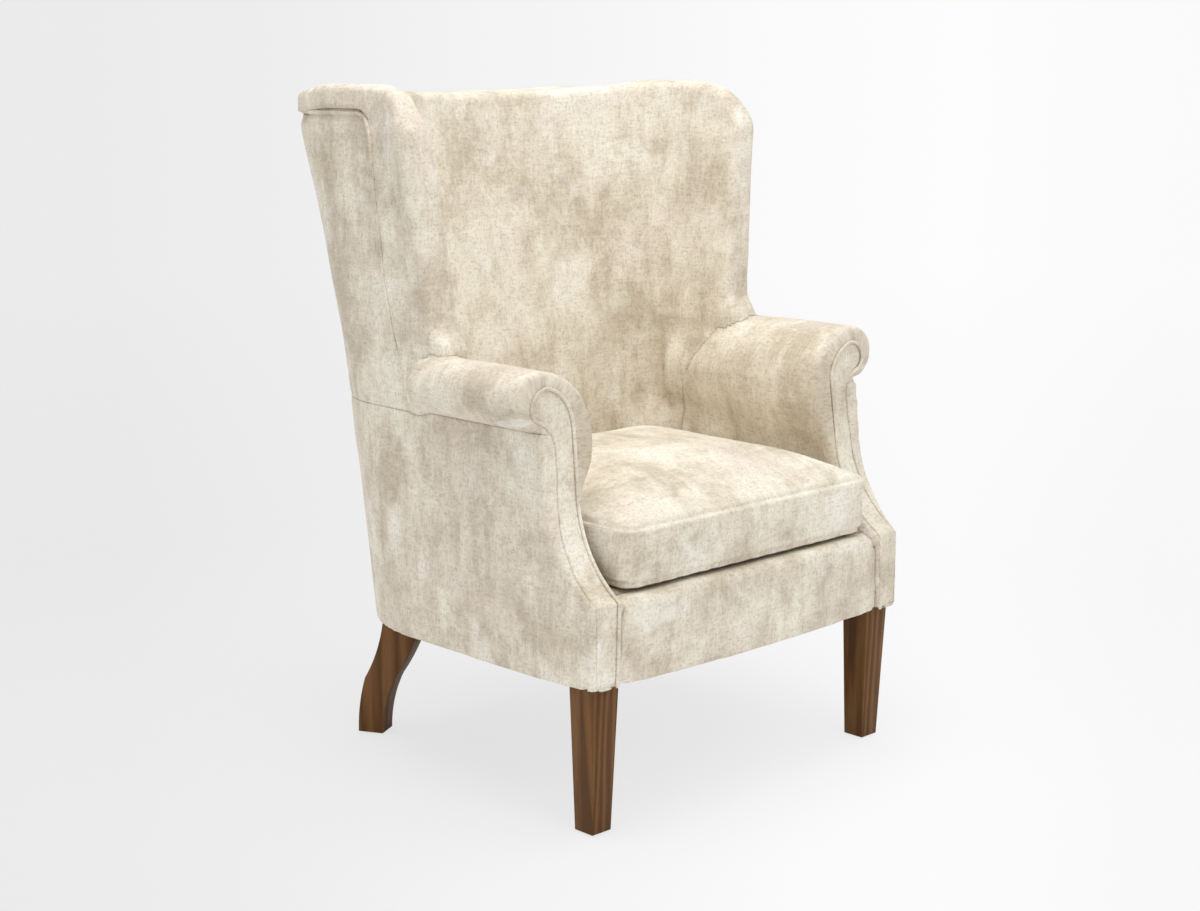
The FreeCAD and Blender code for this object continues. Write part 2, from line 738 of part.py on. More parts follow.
welt_band = high_outer(-welt_proud - border_proud).cut(high_outer(0.0))
welt_line = recess_profile(-welt_width / 2).cut(recess_profile(welt_width / 2))
welt_room = box(back_seam_half_width, body_half_width + overrun, recess_mid_depth, overall_depth,
                recess_high_height - recess_corner_radius, wing_height)
wing_welt = welt_band.common(welt_line).common(welt_room)
export_pair("wing_welt", wing_welt)

# Inside back and wings
back_cover = without(back_cover_form, [back_padding_form, around, around_low, wing_welt, mirrored(wing_welt)])
back_padding = without(back_padding_form, hollows + [around, around_low])

# Wood frame
layer = panel_thick + layer_gap
room_outer = high_outer(layer).fuse(low_outer(layer))
web_layer = back_pad + layer_gap
room = room_outer.cut(inner_space(-wing_pad - layer_gap, -web_layer - web_thick - layer_gap))
slab = turned_slab(-overall_depth, overall_depth, leg_height, crest_high)
slabs = [slab, mirrored(slab)]
post_ring = high_outer(layer).cut(high_outer(layer + post_deep))
post_ring = post_ring.fuse(low_outer(layer).cut(low_outer(layer + post_deep)))
behind = box(0, body_half_width, wing_mid_depth, overall_depth, leg_height, wing_height)
back_post = slab.common(post_ring).common(behind).cut(
    inner_space(-wing_pad - layer_gap, -web_layer - web_thick - layer_gap))

rail_ring = low_outer(layer).cut(low_outer(layer + rail_thick))
rail_ring = rail_ring.common(box(-body_half_width, body_half_width, arm_pad + layer_gap + arm_post_depth,
                                 overall_depth, leg_height, leg_height + rail_height)).cut(slabs)
side_rail = [r for r in rail_ring.Solids if r.CenterOfMass.x > back_seam_half_width][0]
rear_rail = [r for r in rail_ring.Solids if abs(r.CenterOfMass.x) < layer_gap][0]

frame_top = room.common(wing_profile(wing_roll + layer_gap, top_roll))
top_ring = frame_top.common(box(-body_half_width, body_half_width, 0, overall_depth,
                                crest_low, crest_high)).cut(slabs)
wing_rail = [r for r in top_ring.Solids if r.CenterOfMass.x > back_seam_half_width / 2][0]
crest_rail = [r for r in top_ring.Solids if abs(r.CenterOfMass.x) < layer_gap][0]
lumbar_ring = room.common(inner_space(-wing_pad, -web_layer - web_thick - rail_thick))
lumbar_ring = lumbar_ring.common(box(-body_half_width, body_half_width, wing_mid_depth, overall_depth,
                                     lumbar_low, lumbar_high)).cut(slabs)
lumbar_rail = [r for r in lumbar_ring.Solids if abs(r.CenterOfMass.x) < layer_gap][0]

front_rail = box(-arm_post_inner, arm_post_inner, border_pad + layer_gap,
                 border_pad + layer_gap + rail_thick, leg_height, leg_height + rail_height)
arm_post = arm_front(arm_pad + layer_gap).cut(arm_front(arm_pad + layer_gap + arm_post_depth))
arm_post = arm_post.common(box(arm_post_inner, arm_post_outer, 0, wing_mid_depth, leg_height, arm_rail_low))
arm_layer = arm_pad + layer_gap
scroll_rail = arm_form(arm_layer).common(
    box(seat_half_width, body_half_width + overrun, 0, roll_end_depth, arm_rail_low, arm_rail_high))
tail = box(arm_rail_inner, arm_rail_outer, roll_end_depth - 2 * arm_layer, overall_depth,
           arm_rail_low, arm_rail_high)
arm_rail = scroll_rail.fuse(tail.common(room_outer).cut(slab)).removeSplitter()
arm_rail = max(arm_rail.Solids, key=lambda r: r.Volume)
wing_foot = box(0, body_half_width, wing_toe_depth + wing_roll + layer_gap,
                wing_toe_depth + wing_roll + wing_post_width, arm_rail_high, wing_toe_height)
wing_stem = wing_profile(wing_roll + layer_gap).cut(wing_profile(wing_roll + wing_post_width))
wing_stem = wing_stem.common(box(0, body_half_width, 0, overall_depth, wing_toe_height, crest_low))
wing_post = wing_foot.fuse(wing_stem).common(room).removeSplitter()

block_y = border_pad + layer_gap + rail_thick
block_points = [at(arm_post_inner, block_y, block_low), at(arm_post_inner - block_leg, block_y, block_low),
                at(arm_post_inner, block_y + block_leg, block_low)]
block = Part.Face(Part.makePolygon(block_points + block_points[:1])).extrude(V(0, 0, block_high - block_low))
block = block.common(box(0, arm_post_inner, 0, arm_layer + arm_post_depth, block_low, block_high))

# Legs, bolts, glides and dowels
front_leg = tapered_leg((front_leg_outer_top, front_leg_depth_top), front_leg_top,
                        (front_leg_outer_foot, front_leg_depth_foot), front_foot)
rear_leg = sabre_leg()
front_x, front_depth = (front_leg_outer_top - front_leg_top / 2, front_leg_depth_top + front_leg_top / 2)
rear_x, rear_depth = leg_place((rear_leg_back_top + rear_leg_front_top) / 2, rear_leg_thick / 2)
up = V(0, 0, 1)
bolts = [cylinder(bolt_radius, bolt_up + bolt_down, at(x, depth, leg_height - bolt_down), up)
         for x, depth in ((front_x, front_depth), (rear_x, rear_depth))]
foot_x = front_leg_outer_foot - front_foot / 2
foot_depth = front_leg_depth_foot + front_foot / 2
heel_x, heel_depth = leg_place(rear_foot_length / 2, rear_leg_thick / 2)
glides = [cylinder(glide_radius, glide_height, at(x, depth, 0), up)
          for x, depth in ((foot_x, foot_depth), (heel_x, heel_depth))]
dowel_depth = border_pad + layer_gap + rail_thick / 2
dowel_x = arm_post_inner - dowel_length / 2
dowels = [cylinder(dowel_radius, dowel_length, at(dowel_x, dowel_depth, z), V(1, 0, 0))
          for z in dowel_heights]
both_bolts = bolts + [mirrored(b) for b in bolts]
both_dowels = dowels + [mirrored(d) for d in dowels]

export_pair("front_leg", front_leg.cut(bolts))
export_pair("rear_leg", rear_leg.cut(bolts))
export("leg_bolts", Part.makeCompound(both_bolts))
export("leg_glides", Part.makeCompound(glides + [mirrored(g) for g in glides]))
export("frame_dowels", Part.makeCompound(both_dowels))
export("front_seat_rail", front_rail.cut(both_dowels))
export("rear_seat_rail", rear_rail)
export_pair("side_seat_rail", side_rail)
export_pair("arm_post", arm_post.cut(bolts + dowels))
export_pair("arm_rail", arm_rail)
export_pair("back_post", back_post.cut(bolts))
export_pair("wing_post", wing_post)
export_pair("wing_rail", wing_rail)
export("crest_rail", crest_rail)
export("lumbar_rail", lumbar_rail)
export("seat_corner_blocks", Part.makeCompound([block, mirrored(block)]))

# Seat springs, their clips and the back webbing
spring_places = [(i - (spring_count - 1) / 2) * spring_spacing for i in range(spring_count)]
export("seat_springs", Part.makeCompound([sinuous_spring(x) for x in spring_places]))
clips = [spring_clip(x, spring_front, 1) for x in spring_places]
clips += [spring_clip(x, spring_rear(x), -1) for x in spring_places]
export("spring_clips", Part.makeCompound(clips))
web_shell = inner_space(-wing_pad, -web_layer - web_thick).cut(inner_space(-wing_pad - web_thick, -web_layer))
webs = []
for i in range(web_count):
    x = (i - (web_count - 1) / 2) * web_spacing
    strip = box(x - web_width / 2, x + web_width / 2, wing_mid_depth, overall_depth, lumbar_low, crest_high)
    webs.append(web_shell.common(strip))
export("back_webbing", Part.makeCompound(webs))

# Upholstery of the inside back
frame_right = [arm_rail, wing_post, wing_rail, back_post]
frame_all = frame_right + [mirrored(f) for f in frame_right]
export("back_cover", without(back_cover, frame_all))
export("back_padding", without(back_padding, frame_all + [wing_welt, mirrored(wing_welt)]))

# Front border
border = front_border()
export("front_border", border)

# Arms
arm_padding_form = arm_form(cover_thick, arm_edge_radius - cover_thick / 2)
arm_hollow = arm_form(arm_pad)
outline = facing_outline()
facing_face = outline.makeOffset2D(-welt_width)
pocket = through(outline).common(arm_front(-welt_proud).cut(arm_front(facing_thick)))
facing = through(facing_face).common(arm_front(-facing_proud).cut(arm_front(facing_thick)))
facing_welt = pocket.cut(through(facing_face))
behind_seam = box(0, body_half_width, seam_foot_depth, overall_depth, 0, arm_height)
below = box(0, body_half_width + overrun, 0, overall_depth, 0, leg_height)
not_arm = [back_cover_form, behind_seam, below, pocket, outside_arm, arm_rail, wing_post, border]
front_strip = front_strip.common(arm_front())
arm_cover = without(arm_cover_form.fuse(front_strip), [arm_padding_form] + not_arm)
arm_padding = without(arm_padding_form, [arm_hollow] + not_arm)
export_pair("arm_cover", arm_cover)
export_pair("arm_padding", arm_padding)
export_pair("arm_facing", facing)
export_pair("facing_welt", facing_welt)

# Seat platform and dust cover
deck = box(-seat_half_width, seat_half_width, border_depth, inner_depth_arm, deck_top - deck_thick, deck_top)
export("seat_platform", deck.cut(back_cover_form))
dust = Part.Face(low_plan(leg_height, dust_inset)).extrude(V(0, 0, -dust_thick))
dust = dust.common(box(-body_half_width, body_half_width, dust_inset, overall_depth, 0, leg_height))
legs = [front_leg, rear_leg]
export("dust_cover", without(dust, legs + [mirrored(leg) for leg in legs]))

# Seat cushion with its zip
zip_z = (cushion_low_seam + cushion_high_seam) / 2
zip_floor = cushion_rear - zip_groove_depth


def groove(wall):
    half, high = zip_length / 2 + wall, zip_groove_height / 2 + wall
    return box(-half, half, zip_floor - wall, cushion_rear + overrun, zip_z - high, zip_z + high)


whole = cushion_form()
stuffed = cushion_form(cushion_cover_thick)
lining = groove(cushion_cover_thick)
core = stuffed.cut(lining)
export("cushion_cover", whole.cut(groove(0.0)).cut(core))
export("cushion_core", core)
tape = box(-zip_length / 2, zip_length / 2, zip_floor, zip_floor + zip_tape_thick,
           zip_z - zip_groove_height / 2, zip_z + zip_groove_height / 2)
coil = box(-zip_length / 2, zip_length / 2, zip_floor + zip_tape_thick,
           zip_floor + zip_tape_thick + zip_coil_thick, zip_z - zip_coil_height / 2,
           zip_z + zip_coil_height / 2)
export("cushion_zip", tape.fuse(coil).removeSplitter())
slider_y = zip_floor + zip_tape_thick + zip_coil_thick + clip_room
slider_x = -zip_length / 2
slider = box(slider_x, slider_x + slider_length, slider_y, slider_y + slider_thick,
             zip_z - slider_height / 2, zip_z + slider_height / 2)
pull = box(slider_x + slider_length / 2, slider_x + slider_length / 2 + pull_length, slider_y + slider_thick,
           slider_y + slider_thick + clip_thick, zip_z - pull_height / 2, zip_z + pull_height / 2)
export("zip_slider", slider.fuse(pull).removeSplitter())
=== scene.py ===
"""Looks of the upholstered wing armchair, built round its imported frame.

Metres, +Z up, the chair faces -Y and left is -X, as in the frame. The covers are cut from
one skin over the sealed body, so neighbouring pieces always meet at their seams.
"""

import json
import math

import bmesh
import bpy
import numpy as np
from mathutils import Matrix, Vector, kdtree, noise
from mathutils.bvhtree import BVHTree

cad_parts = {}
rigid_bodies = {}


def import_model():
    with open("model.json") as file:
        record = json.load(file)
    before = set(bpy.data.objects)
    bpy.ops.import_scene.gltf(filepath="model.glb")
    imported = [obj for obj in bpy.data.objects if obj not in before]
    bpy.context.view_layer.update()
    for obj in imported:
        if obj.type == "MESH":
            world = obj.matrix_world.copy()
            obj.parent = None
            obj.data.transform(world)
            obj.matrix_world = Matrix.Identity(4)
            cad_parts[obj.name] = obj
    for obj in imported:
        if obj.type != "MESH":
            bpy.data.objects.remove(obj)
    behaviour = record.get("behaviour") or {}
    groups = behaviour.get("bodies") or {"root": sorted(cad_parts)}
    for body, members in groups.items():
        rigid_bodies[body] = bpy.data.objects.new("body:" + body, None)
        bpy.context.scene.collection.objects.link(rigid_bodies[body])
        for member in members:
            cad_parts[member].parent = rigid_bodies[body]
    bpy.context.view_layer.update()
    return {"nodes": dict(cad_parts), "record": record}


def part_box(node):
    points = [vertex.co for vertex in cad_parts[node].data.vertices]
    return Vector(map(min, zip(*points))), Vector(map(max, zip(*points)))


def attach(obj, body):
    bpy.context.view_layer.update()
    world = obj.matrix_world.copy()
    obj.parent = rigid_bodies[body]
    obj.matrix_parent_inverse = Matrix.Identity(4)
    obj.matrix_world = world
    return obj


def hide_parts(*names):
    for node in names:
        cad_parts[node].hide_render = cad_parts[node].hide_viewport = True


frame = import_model()
scene = bpy.context.scene
sides = {"left": -1, "right": 1}

# Sizes that follow the frame
facing_inset = 0.0012
facing_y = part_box("arm_facing_left")[0].y + facing_inset
body_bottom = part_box("outside_back")[0].z

# Skin of the sealed body
skin_voxel = 0.004
cover_thick = 0.0024
seam_gap = 0.0003
under_wrap = 0.021
relax_rounds = 8
line_rounds = 14
line_pull = 0.6

# The arm's front: how squarely a face looks ahead, and how far it lies behind the facing
front_turn = 0.45
front_reach = 0.010
arm_starts_x = 0.25
strip_x = 0.300
strip_top_z = 0.556
arm_end_x = 0.312

# Front line of the arm, side view, depth back from the facings
shoulder_z = 0.333
sweep_mid = (0.061, 0.392)
sweep_top = (0.086, 0.470)
scroll_front = (0.099, 0.575)

# Outline of the right arm facing, seen from the front
facing_foot = (0.285, 0.323)
neck_inner = (0.274, 0.556)
scroll_inner = (0.284, 0.594)
scroll_top = (0.320, 0.619)
scroll_outer_high = (0.344, 0.608)
scroll_outer = (0.350, 0.594)
scroll_outer_low = (0.346, 0.580)
scroll_under = (0.335, 0.573)
neck_mid = (0.318, 0.560)
neck_outer = (0.308, 0.533)

# Piping and seam cords
welt_radius = 0.0026
wing_welt_radius = 0.0032
wing_seam_radius = 0.0016

# The facing's piping starts under the scroll, at this point of the facing's outline. It lies
# a little ahead of the facing, but comes out of the cloth over its first few points
piping_start = 11
piping_inset = 0.0004
piping_ahead = 0.0012
piping_dive = 0.0045
dive_points = 4.0

# Top and corner of the outside wing panel, side view
recess_mid = (0.417, 0.745)
recess_high = (0.434, 0.933)
recess_corner = (0.4463, 0.9627)
recess_top = (0.476, 0.975)
recess_end = (0.628, 0.975)
recess_foot = (0.3945, 0.640)
piping_foot = (0.4325, 0.905)

# How that line is laid on the skin: by rays from outside, at the line and close to it.
# The outermost hit counts, but behind the level depth the line stays near the panel
ray_start_x = 0.6
ray_shifts = ((0, 0), (0.006, -0.006), (-0.003, 0.003))
level_depth = 0.52
level_lift = 0.0035


# Small helpers

def circle_through(a, b, c):
    """Centre and radius of the circle through three flat points."""
    (ax, ay), (bx, by), (cx, cy) = a, b, c
    d = 2 * (ax * (by - cy) + bx * (cy - ay) + cx * (ay - by))
    aa, bb, cc = ax * ax + ay * ay, bx * bx + by * by, cx * cx + cy * cy
    x = (aa * (by - cy) + bb * (cy - ay) + cc * (ay - by)) / d
    y = (aa * (cx - bx) + bb * (ax - cx) + cc * (bx - ax)) / d
    return x, y, math.hypot(ax - x, ay - y)


def arc_places(a, b, c, count=16):
    """Flat points along the arc that starts at a, passes b and ends at c."""
    x, y, radius = circle_through(a, b, c)
    start = math.atan2(a[1] - y, a[0] - x)
    middle = math.atan2(b[1] - y, b[0] - x) - start
    end = math.atan2(c[1] - y, c[0] - x) - start
    turn = 2 * math.pi
    middle, end = middle % turn, end % turn
    if middle > end:
        end -= turn
    angles = [start + end * i / count for i in range(count + 1)]
    return [(x + radius * math.cos(angle), y + radius * math.sin(angle)) for angle in angles]


def front_depth(z):
    """Depth of the arm's swept front line at a height."""
    z = np.asarray(z, float)
    cx, cy, radius = circle_through((0.0, shoulder_z), sweep_mid, sweep_top)
    side = np.sign(sweep_mid[0] - cx) or 1.0
    bulge = cx + side * np.sqrt(np.maximum(radius ** 2 - (z - cy) ** 2, 0))
    share = (z - sweep_top[1]) / (scroll_front[1] - sweep_top[1])
    slope = sweep_top[0] + (scroll_front[0] - sweep_top[0]) * np.clip(share, 0, 1)
    return np.where(z < shoulder_z, 0.0, np.where(z < sweep_top[1], bulge, slope))


def points_of(mesh):
    points = np.empty(3 * len(mesh.vertices), np.float32)
    mesh.vertices.foreach_get("co", points)
    return points.reshape(-1, 3).astype(float)


def move_points(mesh, points):
    mesh.vertices.foreach_set("co", np.ascontiguousarray(points, np.float32).ravel())
    mesh.update()


def quads_of(mesh):
    """Faces of a mesh that has only faces of four corners."""
    corners = np.empty(len(mesh.loops), np.int32)
    mesh.loops.foreach_get("vertex_index", corners)
    return corners.reshape(-1, 4)


def shade_smooth(mesh, sharp_angle=None):
    """Smooth shading, but for edges sharper than an angle in degrees."""
    mesh.polygons.foreach_set("use_smooth", np.ones(len(mesh.polygons), bool))
    if sharp_angle:
        mesh.set_sharp_from_angle(angle=math.radians(sharp_angle))


def make_mesh(name, points, faces):
    """Smooth mesh from points and an array of faces with equal corners."""
    mesh = bpy.data.meshes.new(name)
    count, corners = faces.shape
    mesh.vertices.add(len(points))
    move_points(mesh, points)
    mesh.loops.add(count * corners)
    mesh.loops.foreach_set("vertex_index", np.ascontiguousarray(faces, np.int32).ravel())
    mesh.polygons.add(count)
    mesh.polygons.foreach_set("loop_start", np.arange(count, dtype=np.int32) * corners)
    shade_smooth(mesh)
    mesh.update(calc_edges=True)
    return mesh


def link(name, data):
    """New object in the scene, for a mesh, curve, lamp or camera."""
    made = bpy.data.objects.new(name, data)
    scene.collection.objects.link(made)
    return made


def discard(obj):
    """Takes an object and its data away."""
    data = obj.data
    bpy.data.objects.remove(obj)
    bpy.data.batch_remove([data])


def evaluated_mesh(obj):
    """The object's form, with its modifiers worked in, as a new mesh."""
    bpy.context.view_layer.update()
    graph = bpy.context.evaluated_depsgraph_get()
    mesh = bpy.data.meshes.new_from_object(obj.evaluated_get(graph), depsgraph=graph)
    mesh.name = obj.name
    return mesh


def applied(obj):
    """The object's modifiers worked into its own mesh."""
    mesh, old = evaluated_mesh(obj), obj.data
    obj.modifiers.clear()
    obj.data = mesh
    bpy.data.meshes.remove(old)
    return obj


def walled(obj, thick):
    """Gives an open sheet its thickness, inwards."""
    wall = obj.modifiers.new("wall", "SOLIDIFY")
    wall.thickness, wall.offset = thick, -1
    return applied(obj)


def as_mesh(work, name):
    """Ends a bmesh as a mesh."""
    mesh = bpy.data.meshes.new(name)
    work.to_mesh(mesh)
    work.free()
    return mesh


def node_triangles(names):
    """Points and triangles of CAD nodes together, and the number of each triangle's node."""
    points, triangles, owners, start = [], [], [], 0
    for number, name in enumerate(names):
        mesh = frame["nodes"][name].data
        mesh.calc_loop_triangles()
        corners = np.empty(3 * len(mesh.loop_triangles), np.int32)
        mesh.loop_triangles.foreach_get("vertices", corners)
        points.append(points_of(mesh))
        triangles.append(corners.reshape(-1, 3) + start)
        owners.append(np.full(len(triangles[-1]), number))
        start += len(points[-1])
    return np.concatenate(points), np.concatenate(triangles), np.concatenate(owners)


def hull_triangles(name):
    """Points and triangles of the tightest form round a CAD node without hollows."""
    points, _, _ = node_triangles([name])
    work = bmesh.new()
    for point in points:
        work.verts.new(point)
    bmesh.ops.remove_doubles(work, verts=work.verts, dist=1e-5)
    hull = bmesh.ops.convex_hull(work, input=work.verts)
    spare = {part for part in hull["geom_interior"] + hull["geom_unused"]
             if isinstance(part, bmesh.types.BMVert)}
    bmesh.ops.delete(work, geom=list(spare), context="VERTS")
    bmesh.ops.triangulate(work, faces=work.faces)
    work.verts.index_update()
    points = np.array([v.co for v in work.verts])
    triangles = np.array([[v.index for v in face.verts] for face in work.faces])
    work.free()
    return points, triangles


def voxel_form(names, voxel, closing=None):
    """One closed skin round several CAD nodes, as points and faces of four corners."""
    points, triangles, _ = node_triangles(names)
    if closing:
        plug_points, plug = hull_triangles(closing)
        triangles = np.concatenate([triangles, plug + len(points)])
        points = np.concatenate([points, plug_points])
    obj = link("form", make_mesh("form", points, triangles))
    remesh = obj.modifiers.new("skin", "REMESH")
    remesh.mode = "VOXEL"
    remesh.voxel_size = voxel
    applied(obj)
    points, faces = points_of(obj.data), quads_of(obj.data)
    discard(obj)
    return points, faces


def edges_of(faces):
    """Every edge once, and the two faces beside it (the second is -1 on an open edge)."""
    corners = faces.shape[1]
    pairs = np.concatenate([faces[:, [i, (i + 1) % corners]] for i in range(corners)])
    owner = np.tile(np.arange(len(faces)), corners)
    pairs.sort(axis=1)
    order = np.lexsort((pairs[:, 1], pairs[:, 0]))
    pairs, owner = pairs[order], owner[order]
    first = np.ones(len(pairs), bool)
    first[1:] = (pairs[1:] != pairs[:-1]).any(axis=1)
    index = np.flatnonzero(first)
    beside = np.full((len(index), 2), -1)
    beside[:, 0] = owner[index]
    paired = index + 1 < len(pairs)
    paired[paired] = ~first[index[paired] + 1]
    beside[paired, 1] = owner[index[paired] + 1]
    return pairs[index], beside


keeps_size = (0.5, -0.53)
draws_in = (0.5,)


def averaged(points, edges):
    """Mean of each point's neighbours along the edges, and how many there are."""
    count = np.bincount(edges.ravel(), minlength=len(points))
    total = np.stack([np.bincount(edges[:, 0], points[edges[:, 1], axis], len(points))
                      + np.bincount(edges[:, 1], points[edges[:, 0], axis], len(points))
                      for axis in range(3)], axis=1)
    mean = np.where(count[:, None] > 0, total / np.maximum(count, 1)[:, None], points)
    return mean, count


def relaxed(points, edges, rounds, factors=keeps_size, only=None):
    """Smooths a form by moving each point towards its neighbours' mean, and back a little."""
    for _ in range(rounds):
        for factor in factors:
            step = factor * (averaged(points, edges)[0] - points)
            if only is not None:
                step = step * only[:, None]
            points = points + step
    return points


def unit(rows):
    """Each row of an array made one long."""
    return rows / np.maximum(np.linalg.norm(rows, axis=1), 1e-12)[:, None]


def face_crosses(points, faces):
    """Across each face of four corners, as long as twice its area."""
    return np.cross(points[faces[:, 2]] - points[faces[:, 0]], points[faces[:, 3]] - points[faces[:, 1]])


def normals_of(points, faces):
    """Unit normal at each point."""
    crosses = face_crosses(points, faces)
    return unit(np.stack([np.bincount(faces.ravel(), np.repeat(crosses[:, axis], 4), len(points))
                          for axis in range(3)], axis=1))


def smooth_step(value, low, high):
    share = np.clip((value - low) / (high - low), 0, 1)
    return share * share * (3 - 2 * share)


def band(value, rise, fall):
    """Goes from 0 to 1 between the first two places, and back to 0 between the last two."""
    return smooth_step(value, *rise) * (1 - smooth_step(value, *fall))


def bell(value, width):
    return np.exp(-(value / width) ** 2)


def raised(points, amount, normals):
    """Points moved out along their normals."""
    return points + amount[:, None] * normals


def ripples(points, *waves):
    """Soft noises added up at each point, each noise with its height, size and seed."""
    total = 0
    for height, size, seed in waves:
        shift = Vector((seed, 2 * seed, -seed))
        total = total + height * np.array([noise.noise(Vector(p) / size + shift) for p in points])
    return total


def distance_to(points, places):
    """Distance from each point to the nearest of some places, and which one it is."""
    tree = kdtree.KDTree(len(places))
    for i, place in enumerate(places):
        tree.insert(place, i)
    tree.balance()
    _, nearest, away = zip(*(tree.find(point) for point in points))
    return np.array(away), np.array(nearest)


# Sealed body: all that is covered, as one form, cut into its covers

paired_covers = {"arm_cover_skin_": ["arm_cover_"], "facing_skin_": ["arm_facing_", "facing_welt_"],
                 "outside_arm_skin_": ["outside_arm_"], "outside_wing_skin_": ["outside_wing_"]}
skin_nodes = {"inside_back_cover": ["back_cover"]}
for cover, parts in paired_covers.items():
    for hand in sides:
        skin_nodes[cover + hand] = [part + hand for part in parts]
skin_nodes.update({"outside_back_skin": ["outside_back"], "front_border_skin": ["front_border"],
                   "deck_skin": ["seat_platform"]})
not_sealed = ("front_leg", "rear_leg", "leg_", "seat_springs", "spring_clips", "back_webbing",
              "frame_dowels", "wing_welt")


def sealed_nodes():
    names = frame["record"]["behaviour"]["bodies"]["chair"]
    return [name for name in names if not name.startswith(not_sealed)]


def cut_lines(faces, panel):
    """All edges, the faces beside them, and which edges lie between two covers."""
    edges, beside = edges_of(faces)
    closed = beside[:, 1] >= 0
    split = np.zeros(len(edges), bool)
    split[closed] = panel[beside[closed, 0]] != panel[beside[closed, 1]]
    return edges, beside, split


def even_seams(points, faces, panel):
    """Draws the seams straighter, and keeps them on the surface."""
    edges, _, split = cut_lines(faces, panel)
    lines = edges[split]
    on_line = np.zeros(len(points), bool)
    on_line[lines.ravel()] = True
    surface = BVHTree.FromPolygons(points.tolist(), faces.tolist())
    for _ in range(line_rounds):
        mean, count = averaged(points, lines)
        move = on_line & (count == 2)
        points[move] += line_pull * (mean[move] - points[move])
    for i in np.flatnonzero(on_line):
        points[i] = surface.find_nearest(points[i])[0]
    near = on_line.copy()
    for _ in range(2):
        near[edges[near[edges].any(axis=1)].ravel()] = True
    inner = (near & ~on_line).astype(float)
    return relaxed(points, edges, 3, draws_in, inner)


def body_skin():
    """Points, faces, cover number of each face and cover names of the sealed body."""
    points, faces = voxel_form(sealed_nodes(), skin_voxel, "dust_cover")
    edges, _ = edges_of(faces)
    points = relaxed(points, edges, relax_rounds)
    names = list(skin_nodes)
    flat = [node for name in names for node in skin_nodes[name]]
    group = np.array([i for i, name in enumerate(names) for _ in skin_nodes[name]])
    node_points, triangles, owners = node_triangles(flat)
    tree = BVHTree.FromPolygons(node_points.tolist(), triangles.tolist())
    centres = points[faces].mean(axis=1)
    found = [tree.find_nearest(c) for c in centres]
    panel = group[owners[np.array([f[2] for f in found])]]
    away = np.array([f[3] for f in found])
    panel = front_pieces(points, faces, centres, panel, names)
    panel = settled(faces, panel)
    below = centres[:, 2] < body_bottom + skin_voxel / 2
    panel[below & (away > under_wrap)] = -1
    return even_seams(points, faces, panel), faces, panel, names


# Height and depth of the line where the arm's inner side meets the inside back
arm_end_line = [(0.400, 0.420), (0.451, 0.412), (0.485, 0.408), (0.516, 0.401), (0.550, 0.390),
                (0.575, 0.377), (0.599, 0.359), (0.617, 0.344), (0.629, 0.329), (0.636, 0.311),
                (0.650, 0.290)]


def arm_end_depth(z):
    """Depth at which the arm's inner side meets the inside back, at a height."""
    heights, depths = zip(*arm_end_line)
    return np.interp(z, heights, depths)


def within(places, outline):
    """Which flat points lie inside a closed outline."""
    inside = np.zeros(len(places), bool)
    for (ax, az), (bx, bz) in zip(outline, np.roll(outline, -1, axis=0)):
        if az != bz:
            crosses = (places[:, 1] < az) != (places[:, 1] < bz)
            inside ^= crosses & (places[:, 0] < ax + (places[:, 1] - az) * (bx - ax) / (bz - az))
    return inside


def front_pieces(points, faces, centres, panel, names):
    """Ends each facing at its outline, and gives the strip outside it to the outside arm."""
    panel = panel.copy()
    ahead = -unit(face_crosses(points, faces))[:, 1]
    behind = centres[:, 1] - facing_y
    front = (ahead > front_turn) & (behind < front_depth(centres[:, 2]) + front_reach)
    outline = np.array(facing_line())
    for label, side in sides.items():
        facing, arm, outside = [names.index(start + label) for start in
                                ("facing_skin_", "arm_cover_skin_", "outside_arm_skin_")]
        near = front & np.isin(panel, (facing, arm, outside)) & (centres[:, 0] * side > arm_starts_x)
        inside = near & within(centres[:, [0, 2]] * (side, 1), outline)
        spare = (panel == facing) & ~inside
        panel[inside] = facing
        panel[spare] = arm
        strip = (panel == arm) & (centres[:, 0] * side > strip_x) & (centres[:, 2] < strip_top_z)
        panel[strip] = outside
        past_end = (panel == arm) & (behind > arm_end_depth(centres[:, 2]))
        panel[past_end & (np.abs(centres[:, 0]) < arm_end_x)] = names.index("inside_back_cover")
    return panel


def settled(faces, panel, rounds=3):
    """Lets stray faces join the cover round them."""
    _, beside = edges_of(faces)
    beside = beside[beside[:, 1] >= 0]
    kinds = panel.max() + 1
    for _ in range(rounds):
        votes = np.zeros((len(faces), kinds))
        np.add.at(votes, (beside[:, 0], panel[beside[:, 1]]), 1)
        np.add.at(votes, (beside[:, 1], panel[beside[:, 0]]), 1)
        own = votes[np.arange(len(faces)), panel]
        best = votes.argmax(axis=1)
        panel = np.where((own <= 1) & (votes.max(axis=1) >= 3), best, panel)
    return panel


# Seams: the two sorts of cover that meet, and the depth and width of the dip between them

